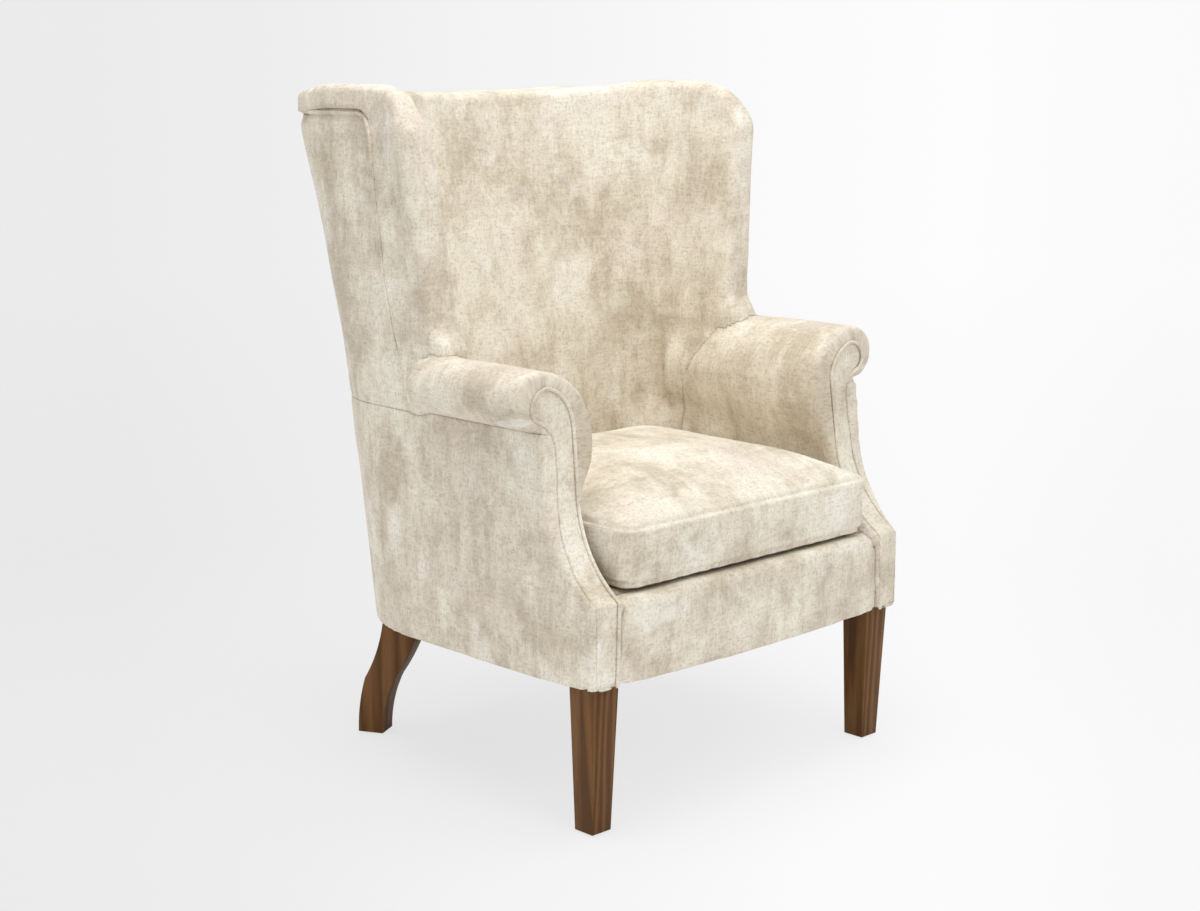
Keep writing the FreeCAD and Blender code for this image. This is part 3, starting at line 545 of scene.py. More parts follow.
seams = [
    ("inside_back", "arm_cover", 0.0044, 0.008),
    ("inside_back", "outside_wing", 0.0032, 0.005),
    ("inside_back", "outside_back", 0.0016, 0.007),
    ("facing", "arm_cover", 0.0016, 0.004),
    ("facing", "front_border", 0.0022, 0.006),
    ("facing", "outside_arm", 0.0022, 0.0035),
    ("arm_cover", "outside_wing", 0.0045, 0.009),
    ("outside_arm", "outside_wing", 0.0016, 0.006),
    ("outside_arm", "outside_back", 0.0020, 0.007),
    ("outside_wing", "outside_back", 0.0020, 0.007),
    ("arm_cover", "outside_arm", 0.0014, 0.006),
    ("front_border", "deck", 0.0040, 0.012),
]
seam_forms = {frozenset(seam[:2]): seam[2:] for seam in seams}
other_seam = (0.0030, 0.008)
seam_sharpness = 1.3
cover_kinds = ("inside_back", "arm_cover", "facing", "outside_arm", "outside_wing", "outside_back",
               "front_border", "deck")


def kind_of(name):
    """Sort of cover, without its side."""
    return next(kind for kind in cover_kinds if name.startswith(kind))


def points_on(kind, count, faces, panel, names):
    """Which points belong to covers of one kind."""
    chosen = [number for number, name in enumerate(names) if kind_of(name) == kind]
    on = np.zeros(count, bool)
    on[faces[np.isin(panel, chosen)].ravel()] = True
    return on


def dip_seams(points, faces, panel, names):
    """Draws the skin in along its seams."""
    edges, beside, split = cut_lines(faces, panel)
    lines, pairs = edges[split], panel[beside[split]]
    covered = (pairs >= 0).all(axis=1)
    kinds = [kind_of(name) for name in names]
    looks = [seam_forms.get(frozenset((kinds[a], kinds[b])), other_seam) for a, b in pairs[covered]]
    away, nearest = distance_to(points, points[lines[covered]].mean(axis=1))
    depth, width = np.array(looks)[nearest].T
    return raised(points, -depth * np.exp(-(away / width) ** seam_sharpness), normals_of(points, faces))


def facing_line(count=18):
    """Outline of the right facing from its outer foot over the scroll to its inner foot, front view."""
    inner_foot, outer_foot = facing_foot
    outline = [(outer_foot, body_bottom), (outer_foot, shoulder_z), neck_outer]
    for arc in ((neck_outer, neck_mid, scroll_under), (scroll_under, scroll_outer_low, scroll_outer),
                (scroll_outer, scroll_outer_high, scroll_top), (scroll_top, scroll_inner, neck_inner)):
        outline += arc_places(*arc, count)[1:]
    return outline + [(inner_foot, body_bottom)]


def rounded_line(places, rounds):
    """Softens the bends of a line of points, and keeps its ends."""
    for _ in range(rounds):
        places[1:-1] = (places[:-2] + 2 * places[1:-1] + places[2:]) / 4
    return places


def even_line(places, step):
    """Points at even steps along a line of points."""
    places = np.asarray(places, float)
    along = np.concatenate([[0], np.cumsum(np.linalg.norm(np.diff(places, axis=0), axis=1))])
    count = max(2, round(along[-1] / step) + 1)
    where = np.linspace(0, along[-1], count)
    return np.stack([np.interp(where, along, places[:, axis]) for axis in range(places.shape[1])], axis=1)


def facing_path(side, outwards=0.0, step=0.002, start=0):
    """The facing's outline on the swept front of an arm; side is 1 on the right and -1 on the left."""
    flat = rounded_line(even_line(facing_line()[start:], step), 3)
    run = unit(np.gradient(flat, axis=0))
    flat = flat + outwards * np.stack([run[:, 1], -run[:, 0]], axis=1)
    return np.stack([side * flat[:, 0], facing_y + front_depth(flat[:, 1]), flat[:, 1]], axis=1)


def recess_path(side, skin, flat, step=0.002, lift=0.0006):
    """Line beside an outside wing panel, laid on the skin from outside."""
    laid = []
    for depth, z in even_line(flat, step):
        starts = [Vector((side * ray_start_x, facing_y + depth + back, z + rise))
                  for back, rise in ray_shifts]
        hits = [skin.ray_cast(start, Vector((-side, 0, 0)))[0] for start in starts]
        if None in hits:
            break
        outwards = max(hit.x * side for hit in hits) + lift
        if depth > level_depth:
            outwards = min(outwards, hits[1].x * side + level_lift)
        laid.append((side * outwards, facing_y + depth, z))
    return rounded_line(np.array(laid), 4)


# Form of the covers

# Slow swells of the cloth: height, size and seed of each
cover_swells = ((0.0011, 0.11, 0.0), (0.0004, 0.035, 3.0))

# Arm fronts: how the cover rolls down to the facing, and its gathers round the scroll
arm_front_x = 0.2
arm_front_depth = 0.16
border_reach = 0.030
border_width = 0.026
border_rise = 0.0022
scroll_centre = (0.318, 0.585)
scroll_gathers = 11
scroll_gather_depth = 0.0011
scroll_span = ((-0.6, 0.0), (2.6, 3.1))
scroll_ring = ((0.001, 0.006), (0.012, 0.030))

# Gathers that fan out from a wing's top corner, between two directions in degrees
gather_corner = (0.345, recess_corner[0] + 0.004, recess_corner[1] - 0.004)
corner_gathers = 9
corner_way = (85, 195)
gather_reach = 0.066
gather_depth = 0.0022
gather_hole = 0.008
gather_full = 0.45

# How far the outside wing panels lie back beside their front seam
panel_drop = 0.0018
panel_drop_width = 0.018

# Top line of the wings: falls and a rise, each with the depths between which it comes or goes
wing_front_fall, front_fall_depths = 0.013, (0.350, 0.440)
wing_rear_fall, rear_fall_depths = 0.006, (0.56, 0.63)
wing_top_rise, top_rise_depths = 0.0035, ((0.39, 0.45), (0.54, 0.60))
wing_top_heights = (0.90, 0.99)
wing_sides = (0.22, 0.30)

# Rear corners of the back: way out, filling at mid height and more of it above
rear_corner_way = (0.7185, 0.6955)
rear_corner_fill = 0.003
rear_corner_swell, swell_heights = 0.007, (0.78, 0.94)
corner_top_heights = (0.950, 1.000)
corner_foot_heights = (0.64, 0.74)
corner_sides = (0.16, 0.24)

arm_thinning = 0.020
toe_rounds = 15
arm_end_rounds = 16

# Upright folds of the inside back: place, foot, top and depth of each, and how far it leans;
# a valley with a lower ridge beside it
back_fold_lines = ((0.087, 0.57, 0.78, 0.0018), (-0.150, 0.60, 0.88, 0.0008))
fold_lean = 0.05
fold_start, fold_end = (-0.04, 0.04), (-0.06, 0.0)
folds_behind = 0.4
valley_width = 0.006
ridge_share, ridge_shift, ridge_width = 0.7, 0.016, 0.011

# Zones with soft edges, by distance from the chair's middle, depth and height.
# Each measure fades in between its first two places and out between the last two
arm_swell_zone = (((0.195, 0.225), (0.262, 0.325)), ((0.235, 0.40), (0.50, 0.57)),
                  ((0.44, 0.50), (0.585, 0.640)))
arm_end_zone = (((0.175, 0.205), (0.30, 0.325)), ((-0.035, 0.0), (0.08, 0.12)),
                ((0.47, 0.53), (0.66, 0.70)))
toe_zone = (((0.225, 0.245), (0.335, 0.355)), ((0.265, 0.285), (0.365, 0.39)),
            ((0.612, 0.630), (0.70, 0.735)))


def zone_share(zone, *measures):
    """How far each point lies in a zone, from 0 to 1."""
    return math.prod(band(value, *places) for value, places in zip(measures, zone))


def measures_of(points):
    """Distance from the chair's middle plane, depth behind the facings, and height."""
    return np.abs(points[:, 0]), points[:, 1] - facing_y, points[:, 2].copy()


def gathered(points, normals, centre):
    """Fine pleats that fan out on the skin from a wing's corner."""
    away = points - centre
    radius = np.linalg.norm(away, axis=1)
    angle = np.degrees(np.arctan2(away[:, 2], away[:, 1]))
    start, end = corner_way
    share = (angle - start) / (end - start)
    inside = (radius < gather_reach) & (share > 0) & (share < 1)
    fade = band(radius, (0, gather_hole), (gather_reach * gather_full, gather_reach))
    fade = fade * band(share, (0, 0.15), (0.85, 1))
    wave = np.cos(2 * math.pi * corner_gathers * share + 2.2 * np.sin(7 * share)) * 0.5 - 0.5
    return raised(points, inside * fade * wave * gather_depth, normals)


def eased_wings(points, normals):
    """Lets the wings' top line fall a little to both ends, and fills the rear corners."""
    side, depth, height = measures_of(points)
    points = points.copy()
    fall = wing_front_fall * (1 - smooth_step(depth, *front_fall_depths))
    fall = fall + wing_rear_fall * smooth_step(depth, *rear_fall_depths)
    fall = fall - wing_top_rise * band(depth, *top_rise_depths)
    points[:, 2] -= fall * smooth_step(height, *wing_top_heights) * smooth_step(side, *wing_sides)
    aside, back = rear_corner_way
    outwards = np.sign(points[:, :1]) * (aside, 0, 0) + (0, back, 0)
    facing = np.maximum((normals * outwards).sum(axis=1), 0) ** 2
    amount = rear_corner_fill + rear_corner_swell * smooth_step(height, *swell_heights)
    amount = amount * (1 - 1.1 * smooth_step(height, *corner_top_heights))
    amount = amount * smooth_step(height, *corner_foot_heights) * smooth_step(side, *corner_sides)
    return raised(points, amount * facing, outwards)


def thinned_arms(points):
    """Lets the inner swell of the arms fade out towards the back."""
    share = zone_share(arm_swell_zone, *measures_of(points))
    return raised(points, arm_thinning * share, np.sign(points[:, :1]) * (1, 0, 0))


def smooth_arm_ends(points, edges):
    """Lets the arms' inner ends run softly into the inside back."""
    side, depth, height = measures_of(points)
    mask = zone_share(arm_end_zone, side, depth - arm_end_depth(height), height)
    return relaxed(points, edges, arm_end_rounds, draws_in, mask)


def smooth_toes(points, edges):
    """Slims the feet of the wings, where they run out on the arms."""
    return relaxed(points, edges, toe_rounds, draws_in, zone_share(toe_zone, *measures_of(points)))


def back_folds(points, normals):
    """How far the inside back stands out or in along its soft upright folds."""
    inside = smooth_step(-normals[:, 1], 0.5, 0.8) * (points[:, 1] > facing_y + folds_behind)
    total = np.zeros(len(points))
    for x, low, high, depth in back_fold_lines:
        span = band(points[:, 2], np.add(low, fold_start), np.add(high, fold_end))
        across = points[:, 0] - x - fold_lean * (points[:, 2] - low) ** 2
        ridge = ridge_share * bell(across + ridge_shift, ridge_width)
        total += span * depth * (ridge - bell(across, valley_width))
    return total * inside


def puffed_front(points, normals, side, on_arm):
    """Rounds an arm's cover down to its facing, with small gathers round the scroll."""
    index = np.flatnonzero((points[:, 0] * side > arm_front_x)
                           & (points[:, 1] < facing_y + arm_front_depth))
    away, _ = distance_to(points[index], facing_path(side))
    beside = on_arm[index] & (away < border_reach) & (points[index, 2] > shoulder_z)
    swept = facing_y + front_depth(points[index, 2])
    proud = np.where(beside, np.maximum(swept - points[index, 1], 0), 0)
    rise = border_rise * np.sin(math.pi * np.clip(away / border_width, 0, 1))
    points[index, 1] += np.maximum(proud - rise, 0)
    angle = np.arctan2(points[index, 2] - scroll_centre[1], points[index, 0] * side - scroll_centre[0])
    wave = np.cos(scroll_gathers * angle + 1.5 * np.sin(3 * angle)) * 0.5 - 0.5
    ring = band(angle, *scroll_span) * band(away, *scroll_ring) * on_arm[index]
    points[index] = raised(points[index], scroll_gather_depth * ring * wave, normals[index])


def shape_skin(points, faces, panel, names):
    """Soft surface of the covers: drawn seams, puffed borders, pleats and slow swells."""
    points = eased_wings(points, normals_of(points, faces))
    edges = edges_of(faces)[0]
    points = smooth_arm_ends(smooth_toes(thinned_arms(points), edges), edges)
    on_facing, on_arm = [points_on(kind, len(points), faces, panel, names)
                         for kind in ("facing", "arm_cover")]
    points[on_facing, 1] = (facing_y + front_depth(points[:, 2]))[on_facing]
    normals = normals_of(points, faces)
    for side in sides.values():
        puffed_front(points, normals, side, on_arm)
    swell = ripples(points, *cover_swells) + back_folds(points, normals)
    points = raised(points, swell * ~on_facing, normals)
    out, depth, height = gather_corner
    for side in sides.values():
        points = gathered(points, normals, np.array((side * out, facing_y + depth, height)))
    return dip_seams(points, faces, panel, names)


def cover_piece(name, points, faces):
    """One cover as a closed sheet of cloth with turned edges, drawn back a little from its seams."""
    used, index = np.unique(faces, return_inverse=True)
    faces = index.reshape(faces.shape)
    points = points[used].copy()
    edges, beside = edges_of(faces)
    rim = np.zeros(len(points), bool)
    rim[edges[beside[:, 1] < 0].ravel()] = True
    inward = edges[rim[edges[:, 0]] != rim[edges[:, 1]]]
    mean, count = averaged(points, inward)
    pull = mean - points
    length = np.linalg.norm(pull, axis=1)
    move = rim & (count > 0) & (length > 1e-6)
    points[move] += pull[move] / length[move][:, None] * seam_gap
    return walled(link(name, make_mesh(name, points, faces)), cover_thick)


# Cloth grain: which way the warp runs on each piece, kept as an attribute

def keep_grain(obj, rule):
    """Stores the cloth's own coordinates, from a rule of points and normals."""
    mesh = obj.data
    normals = np.empty(3 * len(mesh.vertices), np.float32)
    mesh.vertices.foreach_get("normal", normals)
    grain = rule(points_of(mesh), normals.reshape(-1, 3).astype(float))
    held = mesh.attributes.new("grain", "FLOAT_VECTOR", "POINT")
    held.data.foreach_set("vector", np.ascontiguousarray(grain, np.float32).ravel())
    return obj


def upright_grain(points, normals):
    return points


def arm_grain(points, normals):
    """Warp round the arm: up the inside, over the roll and down the outside."""
    roll_x, roll_z, radius = 0.332, 0.58, 0.065
    side, height = np.abs(points[:, 0]), points[:, 2]
    angle = np.arctan2(height - roll_z, roll_x - side)
    over = np.where(angle < -math.pi / 2, angle + 2 * math.pi, angle)
    round_arm = np.where((height < roll_z) & (side < roll_x), height, roll_z + radius * np.maximum(over, 0))
    return np.stack([points[:, 1], 0.3 * side, round_arm], axis=1)


def cushion_grain(points, normals):
    """Warp from back to front over the top, and upright on the sides."""
    x, y, z = points.T
    aside = smooth_step(np.abs(normals[:, 0]), 0.55, 0.8)[:, None] > 0.5
    return np.where(aside, np.stack([y, x, z], axis=1), np.stack([x, 0.2 * (y - z), y + z], axis=1))


# Materials

def new_finish(name, attribute=None):
    """A material, its node tree, and the coordinates that its pattern follows."""
    finish = bpy.data.materials.new(name)
    finish.use_nodes = True
    tree = finish.node_tree
    tree.nodes.clear()
    if attribute:
        return finish, tree, add(tree, "ShaderNodeAttribute", attribute_name=attribute).outputs["Vector"]
    return finish, tree, add(tree, "ShaderNodeTexCoord").outputs["Object"]


def add(tree, kind, links=None, **settings):
    """Adds a node; links maps its sockets to other sockets or to plain values."""
    made = tree.nodes.new(kind)
    for key, value in settings.items():
        setattr(made, key, value)
    for socket, value in (links or {}).items():
        if isinstance(value, bpy.types.NodeSocket):
            tree.links.new(value, made.inputs[socket])
        else:
            made.inputs[socket].default_value = value
    return made


def linear(red, green, blue):
    """Colour in the renderer's own scale from the usual 0 to 255 numbers."""
    def one(value):
        value /= 255
        return value / 12.92 if value <= 0.04045 else ((value + 0.055) / 1.055) ** 2.4
    return one(red), one(green), one(blue), 1.0


def stretched(tree, source, scale, shift=(0, 0, 0)):
    return add(tree, "ShaderNodeMapping", {"Vector": source, "Scale": scale, "Location": shift}).outputs[0]


def noise_of(tree, source, scale, detail=2.0, rough=0.5, twist=0.0):
    return add(tree, "ShaderNodeTexNoise", {"Vector": source, "Scale": scale, "Detail": detail,
                                            "Roughness": rough, "Distortion": twist}).outputs["Fac"]


def ramp(tree, source, stops):
    """Colour ramp with (place, colour) stops."""
    made = add(tree, "ShaderNodeValToRGB", {"Fac": source})
    points = made.color_ramp.elements
    while len(points) < len(stops):
        points.new(0.5)
    for point, (place, colour) in zip(points, stops):
        point.position = place
        point.color = colour
    return made.outputs["Color"]


def spread(tree, source, low, high, new_low=0.0, new_high=1.0):
    return add(tree, "ShaderNodeMapRange", {"Value": source, "From Min": low, "From Max": high,
                                            "To Min": new_low, "To Max": new_high}).outputs[0]


def mixed(tree, share, a, b, kind="MIX"):
    return add(tree, "ShaderNodeMix", {0: share, 6: a, 7: b}, data_type="RGBA", blend_type=kind).outputs[2]


def math_of(tree, kind, a, b=0.0):
    return add(tree, "ShaderNodeMath", {0: a, 1: b}, operation=kind).outputs[0]


def vector_of(tree, kind, output, a, b=(0.0, 0.0, 0.0)):
    return add(tree, "ShaderNodeVectorMath", {0: a, 1: b}, operation=kind).outputs[output]


def blend(tree, *parts):
    """Values added up, each with its share."""
    scaled = [math_of(tree, "MULTIPLY", value, share) for value, share in parts]
    total = scaled[0]
    for part in scaled[1:]:
        total = math_of(tree, "ADD", total, part)
    return total


def surface(finish, colour, roughness, height, bump, depth, **plain):
    """Closes a material with its shader, bump and output."""
    tree = finish.node_tree
    relief = add(tree, "ShaderNodeBump", {"Height": height, "Strength": bump, "Distance": depth})
    links = {"Base Color": colour, "Roughness": roughness, "Normal": relief.outputs[0], **plain}
    shader = add(tree, "ShaderNodeBsdfPrincipled", links)
    add(tree, "ShaderNodeOutputMaterial", {"Surface": shader.outputs[0]})
    return finish


cloth_cream = linear(242, 236, 221)
cloth_beige = linear(228, 218.5, 201)
cloth_taupe = linear(206, 194.5, 174)
cloth_blush = linear(232, 219, 208)
cloth_white = linear(248, 244, 234)
nap_shadow, nap_middle, nap_light = (0.76, 0.74, 0.71, 1), (0.94, 0.935, 0.925, 1), (1.0, 1.0, 1.0, 1)


def velvet(name):
    """Pale crushed velvet: cloudy taupe and cream, upright streaks, short dashes and a rough nap."""
    finish, tree, grain = new_finish(name, "grain")

    def drawn(scale, size, detail, rough, twist=0.0, shift=(0, 0, 0)):
        return noise_of(tree, stretched(tree, grain, scale, shift), size, detail, rough, twist)

    clouds = drawn((1, 1, 0.8), 8.5, 3.0, 0.55, 0.25)
    patches = drawn((1, 1, 0.7), 23.0, 4.0, 0.65, 0.3, (3, 1, 2))
    streaks = drawn((1, 1, 0.10), 75.0, 3.0, 0.6, 0.2, (0, 4, 0))
    bars = drawn((0.12, 0.12, 1), 75.0, 3.0, 0.6, 0.2, (2, 4, 6))
    blush = drawn((1, 1, 1), 7.0, 2.0, 0.5, 0.0, (7, 2, 5))
    whites = drawn((1, 1, 0.8), 12.0, 3.0, 0.6, 0.4, (1, 9, 4))
    tone = blend(tree, (clouds, 0.50), (patches, 0.50), (spread(tree, streaks, 0.3, 0.7, -0.5, 0.5), 0.07),
                 (spread(tree, bars, 0.3, 0.7, -0.5, 0.5), 0.045))
    colour = ramp(tree, tone, [(0.39, cloth_taupe), (0.50, cloth_beige), (0.60, cloth_cream)])
    colour = mixed(tree, spread(tree, blush, 0.54, 0.70, 0.0, 0.50), colour, cloth_blush)
    colour = mixed(tree, spread(tree, whites, 0.56, 0.68, 0.0, 0.65), colour, cloth_white)
    dashes = math_of(tree, "ADD", drawn((1, 1, 0.2), 330.0, 2.0, 0.6), drawn((0.2, 0.2, 1), 330.0, 2.0, 0.6))
    grit = blend(tree, (noise_of(tree, grain, 260.0, 4.0, 0.75), 0.55), (dashes, 0.225))
    shade = ramp(tree, grit, [(0.41, nap_shadow), (0.50, nap_middle), (0.58, nap_light)])
    colour = mixed(tree, 1.0, colour, shade, "MULTIPLY")
    height = blend(tree, (grit, 0.7), (noise_of(tree, grain, 950.0, 2.0, 0.7), 0.3))
    sheen = {"Sheen Weight": 0.2, "Sheen Roughness": 0.45, "Sheen Tint": (1.0, 0.99, 0.96, 1.0),
             "Specular IOR Level": 0.15}
    nap = spread(tree, patches, 0.35, 0.65, 0.78, 0.92)
    return surface(finish, colour, nap, height, 0.6, 0.0016, **sheen)


def stained_wood(name, dark, mid, light, scale=26.0, rough=0.42, gloss=0.04, shine=0.14):
    """Stained hardwood with long grain, pores and slightly worn tone."""
    finish, tree, place = new_finish(name)
    grain = stretched(tree, place, (1, 1, 0.07))
    rings = noise_of(tree, grain, scale, 5.0, 0.62, 1.6)
    bands = add(tree, "ShaderNodeTexWave", {"Vector": grain, "Scale": scale * 0.9, "Distortion": 7.0,
                                            "Detail": 3.0, "Detail Scale": 1.4}).outputs["Fac"]
    pores = noise_of(tree, stretched(tree, place, (1, 1, 0.035)), scale * 34, 2.0, 0.7)
    mark = spread(tree, pores, 0.30, 0.46, 1.0, 0.0)
    tone = blend(tree, (rings, 0.6), (bands, 0.4))
    colour = ramp(tree, tone, [(0.30, dark), (0.52, mid), (0.74, light)])
    colour = mixed(tree, math_of(tree, "MULTIPLY", mark, 0.5), colour, dark)
    return surface(finish, colour, spread(tree, rings, 0.3, 0.7, rough - 0.06, rough + 0.08),
                   blend(tree, (tone, 0.35), (mark, -0.65)), 0.25, 0.0004,
                   **{"Coat Weight": gloss, "Coat Roughness": 0.3, "Specular IOR Level": shine})


def fibre_mat(name, dark, light, scale=180.0):
    """Matted wadding or felt."""
    finish, tree, place = new_finish(name)
    hair = noise_of(tree, place, scale, 5.0, 0.7, 2.5)
    lumps = noise_of(tree, place, scale / 9, 3.0, 0.6)
    colour = ramp(tree, blend(tree, (hair, 0.6), (lumps, 0.4)), [(0.35, dark), (0.65, light)])
    return surface(finish, colour, spread(tree, hair, 0.3, 0.7, 0.85, 0.97), hair, 0.6, 0.002)


def plain_weave(name, dark, light, pitch=0.0016):
    """Plain woven cloth or webbing, with threads of a given pitch."""
    finish, tree, place = new_finish(name)
    warp, weft = [add(tree, "ShaderNodeTexWave", {"Vector": place, "Scale": math.pi / pitch / 10,
                                                  "Distortion": 0.4}, bands_direction=way).outputs["Fac"]
                  for way in ("X", "DIAGONAL")]
    threads = math_of(tree, "MULTIPLY", warp, weft)
    dirt = noise_of(tree, place, 14.0, 3.0, 0.6)
    colour = ramp(tree, blend(tree, (threads, 0.6), (dirt, 0.4)), [(0.15, dark), (0.60, light)])
    return surface(finish, colour, spread(tree, dirt, 0.3, 0.7, 0.8, 0.93), threads, 0.5, 0.0006)


def worked_metal(name, dark, light, rough=0.35):
    """Drawn or plated steel with fine scratches and dulled patches."""
    finish, tree, place = new_finish(name)
    scratch = noise_of(tree, stretched(tree, place, (1, 0.08, 1)), 900.0, 3.0, 0.7)
    dull = noise_of(tree, place, 40.0, 4.0, 0.6)
    colour = ramp(tree, dull, [(0.35, dark), (0.65, light)])
    return surface(finish, colour, spread(tree, dull, 0.3, 0.7, rough - 0.1, rough + 0.15), scratch,
                   0.2, 0.0002, Metallic=1.0)


def moulded_plastic(name, dark, light, rough=0.5):
    """Moulded plastic with a faint pebbled skin and scuffs."""
    finish, tree, place = new_finish(name)
    pebble = noise_of(tree, place, 1400.0, 2.0, 0.5)
    scuff = noise_of(tree, place, 70.0, 4.0, 0.65)
    colour = ramp(tree, scuff, [(0.40, dark), (0.62, light)])
    return surface(finish, colour, spread(tree, scuff, 0.3, 0.7, rough - 0.08, rough + 0.15), pebble,
                   0.25, 0.0003)


finishes = {
    "cover_cloth": velvet("crushed_velvet"),
    "welt_cloth": velvet("welt_velvet"),
    "leg_wood": stained_wood("stained_leg_wood", linear(88, 57, 28), linear(106, 72, 38),
                             linear(122, 86, 50)),
    "frame_wood": stained_wood("frame_beech", linear(150, 112, 74), linear(190, 152, 108),
                               linear(214, 180, 138), scale=18.0, rough=0.65, gloss=0.0, shine=0.4),
    "padding": fibre_mat("white_wadding", linear(206, 204, 198), linear(240, 239, 234)),
    "foam": fibre_mat("cream_foam", linear(226, 212, 170), linear(243, 234, 205), 420.0),
    "deck_cloth": plain_weave("deck_cloth", linear(150, 138, 118), linear(206, 195, 174)),
    "dust_cloth": plain_weave("black_dust_cloth", linear(16, 16, 17), linear(48, 47, 46), 0.0012),
    "webbing": plain_weave("jute_webbing", linear(112, 84, 50), linear(190, 158, 108), 0.0035),
    "spring_steel": worked_metal("spring_wire", linear(62, 60, 58), linear(120, 118, 114), 0.4),
    "zinc_steel": worked_metal("zinc_plate", linear(150, 148, 140), linear(196, 194, 186), 0.32),
    "slider_metal": worked_metal("nickel_slider", linear(150, 148, 142), linear(205, 203, 198), 0.25),
    "glide_plastic": moulded_plastic("glide_nylon", linear(34, 33, 32), linear(60, 58, 56)),
    "zip_plastic": moulded_plastic("zip_nylon", linear(196, 186, 166), linear(220, 212, 194), 0.42),
}


def dress(obj, slot, body="chair", stands_for=()):
    """Gives a finished piece its finish and body, and hides the CAD nodes that it stands for."""
    obj.data.materials.clear()
    obj.data.materials.append(finishes[slot])
    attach(obj, body)
    if stands_for:
        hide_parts(*stands_for)
    return obj


# What repeats or follows a path, made with node trees

def node_group(name, inputs):
    """Empty geometry tree with named inputs; inputs are (name, socket type, value)."""
    tree = bpy.data.node_groups.new(name, "GeometryNodeTree")
    tree.interface.new_socket("Geometry", in_out="INPUT", socket_type="NodeSocketGeometry")
    tree.interface.new_socket("Geometry", in_out="OUTPUT", socket_type="NodeSocketGeometry")
    for label, kind, value in inputs:
        tree.interface.new_socket(label, in_out="INPUT", socket_type=kind).default_value = value
    return tree, add(tree, "NodeGroupInput")


def close_tree(tree, geometry, finish):
    """Ends a tree in real geometry with its material."""
    real = add(tree, "GeometryNodeRealizeInstances", {"Geometry": geometry})
    coated = add(tree, "GeometryNodeSetMaterial", {"Geometry": real.outputs[0], "Material": finish})
    add(tree, "NodeGroupOutput", {0: coated.outputs[0]})
    return tree


def welt_tree():
    """Cord covered in the chair's own cloth, swept along a path."""
    tree, start = node_group("welt", [("Radius", "NodeSocketFloat", 0.0024),
                                      ("Twist", "NodeSocketFloat", 0.00012),
                                      ("Sides", "NodeSocketInt", 12)])
    along = add(tree, "GeometryNodeSplineParameter").outputs["Length"]
    wave = math_of(tree, "SINE", math_of(tree, "MULTIPLY", along, 1250.0))
    uneven = add(tree, "ShaderNodeTexNoise", {"Scale": 60.0}).outputs["Fac"]
    girth = math_of(tree, "ADD", math_of(tree, "MULTIPLY", uneven, 0.24), 0.88)
    size = blend(tree, (start.outputs["Radius"], girth), (wave, start.outputs["Twist"]))
    sized = add(tree, "GeometryNodeSetCurveRadius", {"Curve": start.outputs[0], "Radius": size})
    ring = add(tree, "GeometryNodeCurvePrimitiveCircle", {"Resolution": start.outputs["Sides"],
                                                          "Radius": 1.0})
    tube = add(tree, "GeometryNodeCurveToMesh", {"Curve": sized.outputs[0], "Profile Curve": ring.outputs[0],
                                                 "Fill Caps": True})
    scale = tube.inputs.get("Scale")
    if scale is not None:
        tree.links.new(size, scale)
    smooth = add(tree, "GeometryNodeSetShadeSmooth", {"Geometry": tube.outputs[0]})
    return close_tree(tree, smooth.outputs[0], finishes["welt_cloth"])


def repeat_tree(name, finish, pitch, item):
    """Small items set at an even pitch along a path, turned about the upright to follow it."""
    tree, start = node_group(name, [("Pitch", "NodeSocketFloat", pitch),
                                    ("Wobble", "NodeSocketFloat", 0.06),
                                    ("Seed", "NodeSocketInt", 3)])
    points = add(tree, "GeometryNodeCurveToPoints", {"Curve": start.outputs[0],
                                                     "Length": start.outputs["Pitch"]}, mode="LENGTH")
    along = add(tree, "FunctionNodeAlignRotationToVector", {"Vector": points.outputs["Tangent"]},
                axis="X", pivot_axis="Z")
    wobble = add(tree, "FunctionNodeRandomValue", {0: (-1, -1, -1), 1: (1, 1, 1),
                                                   "Seed": start.outputs["Seed"]}, data_type="FLOAT_VECTOR")
    loose = add(tree, "ShaderNodeVectorMath", {0: wobble.outputs[0], "Scale": start.outputs["Wobble"]},
                operation="SCALE")
    turned = add(tree, "FunctionNodeRotateRotation", {0: along.outputs[0], 1: loose.outputs[0]},
                 rotation_space="LOCAL")
    piece = add(tree, "GeometryNodeObjectInfo", {"Object": item}, transform_space="ORIGINAL")
    placed = add(tree, "GeometryNodeInstanceOnPoints", {"Points": points.outputs[0],
                                                        "Instance": piece.outputs["Geometry"],
                                                        "Rotation": turned.outputs[0]})
    return close_tree(tree, placed.outputs[0], finish)


def rounded_bar(name, start, end, radius, sides=6):
    """Short rod with softened ends between two places, as an item to repeat."""
    start, end = Vector(start), Vector(end)
    run = (end - start).normalized()
    across = run.orthogonal().normalized()
    up = run.cross(across)
    shares = ((0.0, 0.45), (0.35, 0.9), (1.0, 1.0))
    rings = [(start + run * radius * along, out) for along, out in shares]
    rings += [(end - run * radius * along, out) for along, out in reversed(shares)]
    turns = [2 * math.pi * i / sides for i in range(sides)]
    work = bmesh.new()
    made = [[work.verts.new(centre + (across * math.cos(turn) + up * math.sin(turn)) * radius * out)
             for turn in turns] for centre, out in rings]
    for low, high in zip(made, made[1:]):
        for i in range(sides):
            j = (i + 1) % sides
            work.faces.new((low[i], low[j], high[j], high[i]))
    work.faces.new(list(reversed(made[0])))
    work.faces.new(made[-1])
    bmesh.ops.recalc_face_normals(work, faces=work.faces)
    return link(name, as_mesh(work, name))


def repeated(name, paths, slot, pitch, item, closed=False, wobble=0.06):
    """Items along paths as one plain mesh; the single item is taken away again."""
    tree = repeat_tree(name, finishes[slot], pitch, item)
    obj = grown(name, path_object(name, paths, closed), tree, Wobble=wobble)
    discard(item)
    return obj


